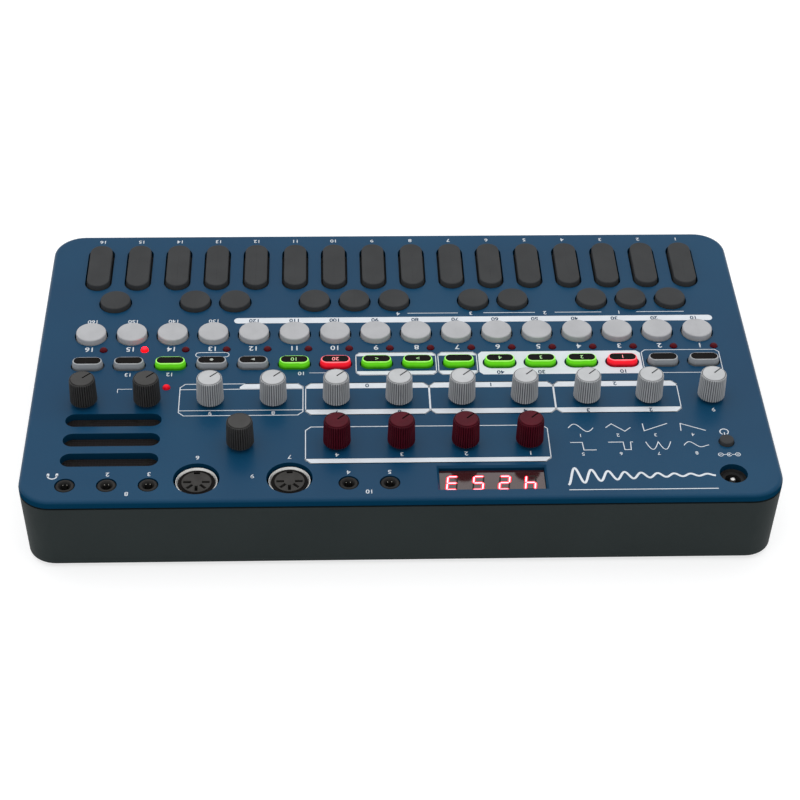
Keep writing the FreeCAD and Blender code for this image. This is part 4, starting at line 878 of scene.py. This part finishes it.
for name, lit, finish, spread, height in (("display_bars_lit", "1", bar_lit, 0.0, 0.08),
                                          ("display_bars_painted_glow", "1", bar_painted_glow, PAINTED_GLOW_SPREAD, 0.04),
                                          ("display_bars_unlit", "0", bar_unlit, 0.0, 0.03)):
    form = bmesh.new()
    for place, character in enumerate(READING):
        x = (place - 1.5) * CHARACTER_PITCH
        for (dx, dy, upright), state in zip(BARS, CHARACTERS[character]):
            if state == lit:
                bar(form, x + dx, dy, upright, spread)
    thicken(form, height)
    for point in form.verts:
        point.co.x += SLANT * point.co.y
    finish_form(name, form, STATIC, [finish], place=DISPLAY_PLACE,
                level=PANEL_TOP + FACE_LEVEL)
print("display reads", READING)

# %% [markdown]
# ## Sockets
# Small turned shapes finish the sockets. A jack's collar has a chamfer and a countersunk bore, and
# stands on the CAD copy, which is cut off at the top of its blocks. A five-pin shell is drawn steel
# with a steep inner lip, so that only its far side shines. The power socket is a deep black funnel
# round a nickel pin.

# %% Where the sockets lie
MOUNTS = {mount["name"]: tuple(v / MM for v in mount["pos_m"][:2]) for mount in frame["record"]["mounts"]}
JACK_PLACES = [place for name, place in MOUNTS.items() if name.endswith("_jack")]
POWER_PLACE = MOUNTS["power_socket"]
DIN_RADIUS = 8.15
low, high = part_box("din_shells")
DIN_FOOT = low.z / MM - PANEL_TOP
DIN_PLACES = [(x, middle_of("din_shells").y) for x in (high.x / MM - DIN_RADIUS, low.x / MM + DIN_RADIUS)]
BLOCK_TOP = -3.35

copy = smooth_copies["panel_jacks"].data
form = bmesh.new()
form.from_mesh(copy)
made = bmesh.ops.bisect_plane(form, geom=[*form.verts, *form.edges, *form.faces], clear_outer=True,
                              plane_co=(0, 0, (PANEL_TOP + BLOCK_TOP) * MM), plane_no=(0, 0, 1))
bmesh.ops.triangle_fill(form, edges=only(made["geom_cut"], BMEdge), use_beauty=True, normal=(0, 0, 1))
form.to_mesh(copy)
form.free()
shade_evenly(copy, 32)
print("jacks at", [round(x, 1) for x, y in JACK_PLACES], "mm; blocks end at", BLOCK_TOP, "mm")

# %% Mini jacks, power socket and five-pin shells
# Each profile goes from its foot to its last ring: height over the panel and radius, in mm
JACK_COLLAR = ((-9.2, 3.8), (-0.8, 3.8), (-0.2, 3.42), (-0.1, 3.3), (-0.1, 2.6), (-0.4, 2.3), (-1.4, 1.95),
               (-9.0, 1.78))
DIN_WELL = ((-9.0, 7.15), (-2.1, 7.15), (-2.1, 5.83), (-8.8, 5.83))
POWER_COLLAR = ((-12.2, 5.25), (-2.4, 5.25), (-2.4, 5.0), (-7.0, 3.2), (-12.0, 3.15))
POWER_PIN = ((-12.0, 1.1), (-3.3, 1.1), (-2.9, 0.9), (-2.75, 0.5))
DIN_SHELL = ((DIN_FOOT, DIN_RADIUS), (-1.45, DIN_RADIUS), (-1.4, DIN_RADIUS - 0.1),
             (-1.4, DIN_RADIUS - 0.25), (-2.5, DIN_RADIUS - 0.95), (DIN_FOOT + 0.2, DIN_RADIUS - 0.95))
# Two spring contacts show in each jack, at these distances from its middle
CONTACTS = ((-0.7, -1.5), (0.9, -1.4))

form = bmesh.new()
for x, y in JACK_PLACES:
    for dx, dy in CONTACTS:
        push_up(form, flat_face(form, 0.4, 0.4, (x + dx, y + dy), -4.0), 3.0, rim=0.12, rim_steps=2)
finish_form("jack_contacts", form, STATIC, [contact_metal], ["panel_jacks"], 40)

for name, profile, places, finish, slot, node in (
        ("jack_collars", JACK_COLLAR, JACK_PLACES, socket_nylon, "socket_black", "panel_jacks"),
        ("din_wells", DIN_WELL, DIN_PLACES, window_black, "socket_black", "din_inserts"),
        ("power_collar", POWER_COLLAR, [POWER_PLACE], socket_nylon, "socket_black", "panel_jacks"),
        ("din_shells_drawn", DIN_SHELL, DIN_PLACES, nickel, "socket_metal", "din_shells"),
        ("power_pin", POWER_PIN, [POWER_PLACE], nickel, "contact_metal", "panel_jacks")):
    form = bmesh.new()
    for place in places:
        turned(form, profile, *place)
    finish_form(name, form, STATIC, [finish], [node], 30)
print("sockets:", len(JACK_PLACES), "mini jacks,", len(DIN_PLACES), "five-pin, 1 power")

# %% [markdown]
# ## Speaker cloth
# A fine black cloth is stretched over the speaker and glued round it, under the three slots. It is
# a woven sheet, so its threads cross: two wave textures, one along each thread, make the weave.

# %% The speaker cloth
CLOTH = (42.0, 35.6)
CLOTH_CELLS = (42, 36)
# How far the cloth lies under the speaker's rim, glued to it
GLUED = 0.02
# Real threads are about 0.2 mm apart. They are drawn coarser, so that the weave shows.
THREAD = 0.55
cloth_black, tree, place = new_material("woven_polyester_black")
threads = [add(tree, "ShaderNodeTexWave", {"Vector": place, "Scale": 1 / (THREAD * MM * math.tau),
                                           "Distortion": 0.4}, bands_direction=direction).outputs["Fac"]
           for direction in "XY"]
weave = add(tree, "ShaderNodeMath", {0: threads[0], 1: threads[1]}, operation="MULTIPLY")
fluff = add(tree, "ShaderNodeTexNoise", {"Vector": place, "Scale": 1 / (2.5 * MM), "Detail": 4.0})
tone = add(tree, "ShaderNodeMix", {0: weave.outputs[0], 6: linear("070606"), 7: linear("1D1817")},
           data_type="RGBA")
dusty = add(tree, "ShaderNodeMix", {0: fluff.outputs[0], 6: tone.outputs[2], 7: linear("150D0E")},
            data_type="RGBA")
relief = add(tree, "ShaderNodeBump", {"Height": weave.outputs[0], "Distance": 0.1 * MM, "Strength": 0.7})
shader = add(tree, "ShaderNodeBsdfPrincipled", {
    "Base Color": dusty.outputs[2], "Roughness": 0.9, "Normal": relief.outputs[0], "Specular IOR Level": 0.1,
    "Sheen Weight": 0.2, "Sheen Roughness": 0.5})
add(tree, "ShaderNodeOutputMaterial", {0: shader.outputs[0]})

form = bmesh.new()
bmesh.ops.create_grid(form, x_segments=CLOTH_CELLS[0], y_segments=CLOTH_CELLS[1], size=0.5)
bmesh.ops.scale(form, verts=form.verts, vec=(*CLOTH, 1))
cloth = finish_form("speaker_cloth", form, STATIC, [cloth_black],
                    place=middle_of("speaker").xy, level=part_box("speaker")[1].z / MM - GLUED)
print("speaker cloth:", CLOTH, "mm")

# %% [markdown]
# ## Print on the panel
# The legends are screen printed in a pale ink, about 0.05 mm thick. Frames group the controls,
# plain numbers count them, and on filled bands the numbers are in the panel's own blue. Ink lies
# on the paint with an edge of its own, so it is thin geometry rather than a colour in the paint.

# %% Ink and helpers for frames
# Screen ink: opaque and matt, so that it reads as a flat tone at every angle
ink_pale = moulded("screen_ink_pale", "E2E6EB", "DADEE3", 0.6, depth=0.008, drift=15)
ink_blue = moulded("screen_ink_blue", "16405E", "133A56", 0.6, depth=0.008, drift=15)
INK = 0.05
LINE = 0.36
CORNER = 2.2


def plate_of(x0, x1, y0, y1, corner):
    """A flat plate between two corners, its own corners chamfered."""
    plate = bmesh.new()
    flat_face(plate, abs(x1 - x0), abs(y1 - y0), ((x0 + x1) / 2, (y0 + y1) / 2), corner=corner, steps=1)
    return plate


def lay_down(form, plate):
    """Moves what is on the plate over to the form."""
    copy = as_mesh("plate", plate)
    form.from_mesh(copy)
    bpy.data.meshes.remove(copy)


def frame_line(form, x0, x1, y0, y1, corner=CORNER, line=LINE):
    """A thin frame with chamfered corners."""
    plate = plate_of(x0, x1, y0, y1, corner)
    face = plate.faces[:][0]
    bmesh.ops.inset_region(plate, faces=[face], thickness=line, use_even_offset=True, use_boundary=True)
    bmesh.ops.delete(plate, geom=[face], context="FACES")
    lay_down(form, plate)


def frame_band(form, x0, x1, y0, y1, low, high, corner=CORNER):
    """The part of a chamfered plate that lies between two levels of y, filled with ink."""
    plate = plate_of(x0, x1, y0, y1, corner)
    for level, outwards in ((low, -1), (high, 1)):
        if y0 < level < y1:
            bmesh.ops.bisect_plane(plate, geom=[*plate.verts, *plate.edges, *plate.faces],
                                   plane_co=(0, level, 0), plane_no=(0, outwards, 0), clear_outer=True)
    lay_down(form, plate)


def finish_print(name, form, ink=ink_pale, level=PANEL_TOP):
    """The flat shapes as a thin layer of ink on the panel."""
    thicken(form, INK)
    piece = finish_form(name, form, STATIC, [ink], level=level)
    print(name, "has", len(piece.data.polygons), "faces")


# %% [markdown]
# A drawn line could be a curve with a bevel, but that is round and ink is flat. Here an edge, as
# long as the line is wide, is extruded from point to point and laid across each bend.

# %% Helpers for lines
def stroke(form, points, width=LINE):
    """A flat line of one width through the points, mitred where it bends."""
    path = [Vector((*point, 0.0)) for point in points]
    ends = [bmesh.ops.create_vert(form, co=(0, side, 0))["vert"][0] for side in (-1, 1)]
    edge = bmesh.ops.contextual_create(form, geom=ends)["edges"][0]
    left, right = edge.verts
    for number, point in enumerate(path):
        behind = point - path[number - 1] if number else path[1] - point
        ahead = path[number + 1] - point if number + 1 < len(path) else behind
        along = (ahead.normalized() + behind.normalized()).normalized()
        across = Vector((-along.y, along.x, 0))
        square = Vector((-behind.y, behind.x, 0)).normalized()
        across *= width / 2 / max(across.dot(square), 0.35)
        if number:
            edge = only(bmesh.ops.extrude_edge_only(form, edges=[edge])["geom"], BMEdge)[0]
            left, right = sorted(edge.verts, key=lambda v: (v.co - left.co).length)
        left.co, right.co = point + across, point - across


def arc(middle, radius, start, end, steps=20):
    """Points on a circle, from one angle to another in degrees."""
    angles = [math.radians(start + (end - start) * k / steps) for k in range(steps + 1)]
    return [(middle[0] + radius * math.cos(a), middle[1] + radius * math.sin(a)) for a in angles]


print("ink lines are", LINE, "mm wide and", INK, "mm thick")

# %% [markdown]
# ## Frames and bands
# A frame is a chamfered plate, inset by the width of its line. A band is the same plate cut off at
# two levels, so that it fits the frame's corners.

# %% Frames round the knobs
# Boxes go from one x to the next and from one y to the next. Upper and lower are as the camera
# sees them.
FIRST_BOX = (89.0, 38.7)
KNOB_BOXES = ((38.0, -12.5), (-12.5, -63.3), (-63.3, -114.3))
BOX, UPPER, LOWER = (17.0, 37.4), (17.0, 20.6), (34.0, 37.4)
REAR_ENDS = (38.0, -58.8)
REAR_BOX, REAR_BAND = (44.6, 67.0), (64.1, 67.0)
# A band's ends lie this far inside its frame's outer edge
INSIDE = 0.1
TITLE_START, TITLE_EDGE = 64.6, 0.2
form = bmesh.new()
frame_line(form, *FIRST_BOX, *BOX)
for level in (UPPER[1], LOWER[0]):
    flat_face(form, FIRST_BOX[0] - FIRST_BOX[1] - 2 * LINE, LINE, (sum(FIRST_BOX) / 2, level))
# This band's plate goes on beyond it, so that only its outer corners are chamfered
frame_band(form, TITLE_START, FIRST_BOX[1] + TITLE_EDGE, UPPER[0], UPPER[1] + 3.0, *UPPER)
FRAMED = [(ends, BOX, (UPPER, LOWER)) for ends in KNOB_BOXES] + [(REAR_ENDS, REAR_BOX, (REAR_BAND,))]
for (x0, x1), box, bands in FRAMED:
    frame_line(form, x0, x1, *box)
    for band in bands:
        frame_band(form, x0 - INSIDE, x1 + INSIDE, *box, *band)
finish_print("print_knob_frames", form)

# %% The band behind the step buttons
STEP_BAND = (203.6, 3.7)
STEP_BAND_PLACE = (-33.7, -25.15)
UNDERLINES = ((-124.0, -103.5), (-88.5, -68.5), (-60.0, -38.0), (-27.0, -5.5))
UNDERLINE_Y, UNDERLINE_DEPTH = -29.6, 0.3
form = bmesh.new()
flat_face(form, *STEP_BAND, STEP_BAND_PLACE, corner=1.8, steps=6)
for x0, x1 in UNDERLINES:
    flat_face(form, x1 - x0, UNDERLINE_DEPTH, ((x0 + x1) / 2, UNDERLINE_Y))
finish_print("print_step_band", form)

# %% Frames round the function buttons
def field_with_holes(form, x0, x1, y0, y1, corner, holes):
    """A solid printed field with stadium holes, filled between its edges."""
    plate = plate_of(x0, x1, y0, y1, corner)
    for x, y, width, depth in holes:
        flat_face(plate, width, depth, (x, y), corner=depth / 2 - 0.02)
    bmesh.ops.delete(plate, geom=plate.faces[:], context="FACES_ONLY")
    bmesh.ops.triangle_fill(plate, edges=plate.edges[:], use_beauty=True, normal=(0, 0, 1))
    lay_down(form, plate)


ROW, ROW_BAND = (-2.8, 12.3), (-2.7, 12.2)
ROW_GAP = (-0.4, 9.6)
SMALL_CORNER = 1.6
# Round a cap the field leaves a hole of this width and depth
CAP_HOLE = (14.2, 7.6)
form = bmesh.new()
field_with_holes(form, -33.8, -101.6, *ROW, SMALL_CORNER, [(x, FUNCTION_Y, *CAP_HOLE) for x in COLUMNS[2:6]])
for x0, x1 in ((17.2, -16.3), (-16.9, -33.3)):
    frame_line(form, x0, x1, *ROW, corner=SMALL_CORNER)
    for low, high in ((ROW_BAND[0], ROW_GAP[0]), (ROW_GAP[1], ROW_BAND[1])):
        frame_band(form, x0 - INSIDE, x1 + INSIDE, *ROW_BAND, low, high, corner=SMALL_CORNER)
frame_line(form, -102.1, -134.9, -3.3, 12.2, corner=SMALL_CORNER, line=0.3)
finish_print("print_button_frames", form)

# %% [markdown]
# ## Numbers
# Plain numbers count the controls: pale ones on the paint, and blue ones on the pale bands. They are
# text turned into flat faces, a little heavier than the font, because screen ink spreads.

# %% Plain numbers
SMALL = 3.1


def numbers(name, places, ink=ink_pale, size=SMALL, weight=0.05):
    """Plain numbers in one ink, each given as text and place. Blue ink lies on a pale band."""
    form = bmesh.new()
    for text, x, y in places:
        lettering(form, text, size, x, y, weight)
    finish_print(name, form, ink, PANEL_TOP + (INK if ink == ink_blue else 0.0))


def counted(places, y, first=1, step=1, low=-math.inf, high=math.inf):
    """Numbers in a row, one at each x of places that lies between low and high."""
    return [(str(step * k + first), x, y) for k, x in enumerate(places) if low < x < high]


FRONT = [place.x for node, place in KNOBS.items() if node.startswith("front")]
REAR = [place.x for node, place in KNOBS.items() if node.startswith("rear")]
UPPER_TEXT_Y, LOWER_TEXT_Y, BAND_TEXT_Y = sum(UPPER) / 2, sum(LOWER) / 2, -25.2
# Where the step band ends, the numbers turn from blue to pale
BAND_END = 69.0
numbers("print_step_numbers", counted(COLUMNS, -6.3), size=4.1, weight=0.07)
numbers("print_key_numbers", counted(COLUMNS, -83.2) + counted(COLUMNS, BAND_TEXT_Y, 10, 10, low=BAND_END)
        + counted((-96.0, -64.2, -32.5, -1.5), -29.4))
numbers("print_control_numbers", counted(REAR, 61.6)
        + counted(FRONT, LOWER_TEXT_Y, low=FIRST_BOX[1], high=FIRST_BOX[0]) + [("9", FRONT[0], 36.0)]
        + counted([x for x, y in JACK_PLACES[1:]], 72.0, 2)
        + [("8", 106.4, 83.3), ("9", 58.4, 73.8), ("10", 13.1, 83.3)]
        + counted([x for x, y in DIN_PLACES], 62.6, 6)
        + [("12", COLUMNS[13], 10.6), ("13", COLUMNS[14], 10.6), ("10", COLUMNS[10] - 3, 10.6)])
numbers("print_band_numbers", counted(COLUMNS, BAND_TEXT_Y, 10, 10, high=BAND_END)
        + counted(FRONT, LOWER_TEXT_Y, low=KNOB_BOXES[-1][1], high=KNOB_BOXES[0][0])
        + counted([sum(ends) / 2 for ends in KNOB_BOXES], UPPER_TEXT_Y, 0)
        + counted(COLUMNS[2:6], 10.8, 10, 10), ink_blue)

# %% [markdown]
# ## Signs
# A power sign stands by its button, the sign for a plug's polarity by the power socket, and a
# headphone sign by the first jack. Two leader lines and a stadium outline belong to a knob and
# two buttons. All of them are arcs and strokes, which the helper for lines draws from a few points.

# %% Signs by the sockets
FINE = 0.26
form = bmesh.new()
x, y = POWER_BUTTON.x, POWER_BUTTON.y - 6.2
stroke(form, arc((x, y), 1.7, -240, 60), 0.4)
stroke(form, ((x, y + 0.4), (x, y + 2.2)), 0.4)

x, y = POWER_PLACE[0], POWER_PLACE[1] - 11.2
for dx, end in ((-3.4, 210), (0.0, 150), (3.4, 210)):
    stroke(form, arc((x + dx, y), 0.95, -150, end), FINE)
for x0, x1 in ((-2.4, -0.95), (0.3, 2.4)):
    stroke(form, ((x + x0, y), (x + x1, y)), FINE)
flat_face(form, 0.7, 0.7, (x, y), corner=0.34, steps=4)
for dx, ax, ay in ((-3.4, 0.5, 0.0), (-3.4, 0.0, 0.5), (3.4, 0.5, 0.0)):
    stroke(form, ((x + dx - ax, y - ay), (x + dx + ax, y + ay)), 0.2)

x, y = JACK_PLACES[0][0] + 5.2, 72.6
stroke(form, arc((x, y), 1.8, -10, 190), 0.5)
for side in (-1, 1):
    flat_face(form, 1.0, 1.7, (x + 1.7 * side, y - 0.5), corner=0.3, steps=2)

x = FRONT[9]
stroke(form, ((x + 6.6, 20.0), (x + 12.5, 20.0), (x + 12.5, 22.2)), FINE)
stroke(form, ((COLUMNS[10] - 6.2, 10.4), (COLUMNS[10] - 13.0, 10.4)), FINE)
right_end = [(x + 5.4, y) for x, y in arc((COLUMNS[12], -2.1), 1.5, -90, 90, 8)]
left_end = [(x - 5.4, y) for x, y in arc((COLUMNS[12], -2.1), 1.5, 90, 270, 8)]
stroke(form, [*right_end, *left_end, right_end[0]], 0.3)
print("signs by the sockets:", len(form.faces), "faces")

# %% [markdown]
# ## Waveforms
# Eight small waveforms stand over one long decaying wave: sine, triangle, two saws, square, pulse,
# rectified sine, and a sine that swells. Each is a short function of an angle, drawn as one line
# from point to point. They join the signs in one printed piece.

# %% Waveforms in the free corner
WAVES = (lambda a: math.sin(a), lambda a: 2 / math.pi * math.asin(math.sin(a)),
         lambda a: a / math.pi % 2 - 1, lambda a: 1 - a / math.pi % 2,
         lambda a: 1 if math.sin(a) >= 0 else -1, lambda a: 1 if math.sin(a) > 0.7 else -1,
         lambda a: abs(math.sin(a)) * 2 - 1, lambda a: math.sin(a) * math.sin(a / 4))
WAVE_WIDTH, WAVE_HEIGHT, WAVE_POINTS = 10.0, 2.3, 40
LONG_WAVE = (-64.0, -122.0)
LONG_Y, LONG_HEIGHT, LONG_POINTS, SWINGS = 75.6, 5.2, 180, 9
# After this many points the long wave has sunk to about a third
FADE = 75
RULE_Y = 83.6

for number, wave in enumerate(WAVES):
    x, y = -72.0 - 15.0 * (number % 4), 46.8 + 11.2 * (number // 4)
    shares = [k / WAVE_POINTS for k in range(WAVE_POINTS + 1)]
    stroke(form, [(x + WAVE_WIDTH * (share - 0.5), y + WAVE_HEIGHT * wave(share * math.tau))
                  for share in shares], 0.34)
    lettering(form, str(number + 1), 2.6, x + 0.5, y + 4.6, weight=0.03)
start, end = LONG_WAVE
stroke(form, [(start + (end - start) * k / LONG_POINTS,
               LONG_Y + LONG_HEIGHT * math.exp(-k / FADE) * math.cos(k / LONG_POINTS * SWINGS * math.tau))
              for k in range(LONG_POINTS + 1)], 0.95)
stroke(form, ((start, RULE_Y), (end, RULE_Y)), 0.4)
finish_print("print_signs", form)

# %% [markdown]
# ## Floor and light
# A product studio: a white floor that is also the backdrop, one large soft box over the keys, and
# a weak one beside the camera that opens up the rear wall. The floor answers the camera with a
# little light of its own, so it shows as white, and still takes the object's soft shadow.

# %% The floor
def seen_directly(tree):
    """1 for rays that show a surface as it is, to the camera, in a reflection or through glass."""
    rays = add(tree, "ShaderNodeLightPath")
    first = add(tree, "ShaderNodeMath", {0: rays.outputs["Is Camera Ray"], 1: rays.outputs["Is Glossy Ray"]},
                operation="MAXIMUM")
    return add(tree, "ShaderNodeMath", {0: first.outputs[0], 1: rays.outputs["Is Transmission Ray"]},
               operation="MAXIMUM").outputs[0]


# Backdrop paper: matt and white, with nothing on it that would draw the eye.
FLOOR_HALF = 3.0
floor_paper, tree = new_material("backdrop_paper_white")[:2]
matt = add(tree, "ShaderNodeBsdfDiffuse", {"Color": linear("E6E6E6")})
faint = add(tree, "ShaderNodeBsdfDiffuse", {"Color": linear("B4B4B4")})
glow = add(tree, "ShaderNodeEmission", {"Color": linear("FFFFFF"), "Strength": 0.68})
shown = add(tree, "ShaderNodeAddShader", {0: faint.outputs[0], 1: glow.outputs[0]})
mixed = add(tree, "ShaderNodeMixShader", {0: seen_directly(tree), 1: matt.outputs[0], 2: shown.outputs[0]})
add(tree, "ShaderNodeOutputMaterial", {0: mixed.outputs[0]})

form = bmesh.new()
bmesh.ops.create_grid(form, x_segments=4, y_segments=4, size=FLOOR_HALF)
floor_mesh = as_mesh("floor", form)
floor_mesh.materials.append(floor_paper)
floor = bpy.data.objects.new("floor", floor_mesh)
bpy.context.scene.collection.objects.link(floor)
floor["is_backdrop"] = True
print("floor:", 2 * FLOOR_HALF, "m square")

# %% [markdown]
# The room is white at the horizon, where it joins the floor, and dim overhead, so that the satin
# panel mirrors little of it. A ramp on the ray's height does that, with no picture of a room.

# %% The room's light
# The white fades out between these heights of the ray, down to the ceiling's share
HORIZON_END, CEILING_START, CEILING = 0.20, 0.92, 0.1
world = bpy.data.worlds.new("studio")
bpy.context.scene.world = world
world.use_nodes = True
tree = world.node_tree
tree.nodes.clear()
room = add(tree, "ShaderNodeBackground", {"Color": linear("F4F6F8"), "Strength": 0.70})
sky = add(tree, "ShaderNodeSeparateXYZ", {0: add(tree, "ShaderNodeTexCoord").outputs["Generated"]})
ceiling = add(tree, "ShaderNodeMapRange", {"Value": sky.outputs["Z"], "From Min": HORIZON_END,
                                           "From Max": CEILING_START, "To Min": 1.0, "To Max": CEILING})
white = add(tree, "ShaderNodeBackground", {"Color": linear("FFFFFF"), "Strength": ceiling.outputs[0]})
mixed = add(tree, "ShaderNodeMixShader", {0: seen_directly(tree), 1: room.outputs[0], 2: white.outputs[0]})
add(tree, "ShaderNodeOutputWorld", {0: mixed.outputs[0]})
print("room:", world.name)

# %% [markdown]
# A soft box is a lamp behind white cloth, and a square area lamp is its like: the larger it is, the
# softer its shadows are. Both point at the middle of the panel.

# %% Soft boxes
def soft_box(name, place, size, watts):
    """A square area lamp of size metres, turned to the middle of the panel."""
    data = bpy.data.lights.new(name, "AREA")
    data.size = size
    data.energy = watts
    lamp = bpy.data.objects.new(name, data)
    lamp.location = place
    lamp.rotation_euler = (Vector((0, 0, 0.03)) - lamp.location).to_track_quat("-Z", "Y").to_euler()
    bpy.context.scene.collection.objects.link(lamp)


soft_box("soft_box_overhead", Vector((0.05, -0.25, 1.5)), 2.4, 15.5)
soft_box("soft_box_by_camera", Vector((0.5, 1.5, 1.0)), 1.2, 1.5)
bpy.context.scene.view_settings.view_transform = "Standard"
print("lights:", [light.name for light in bpy.data.lights])

# %% The finished model's bounds
low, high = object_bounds()
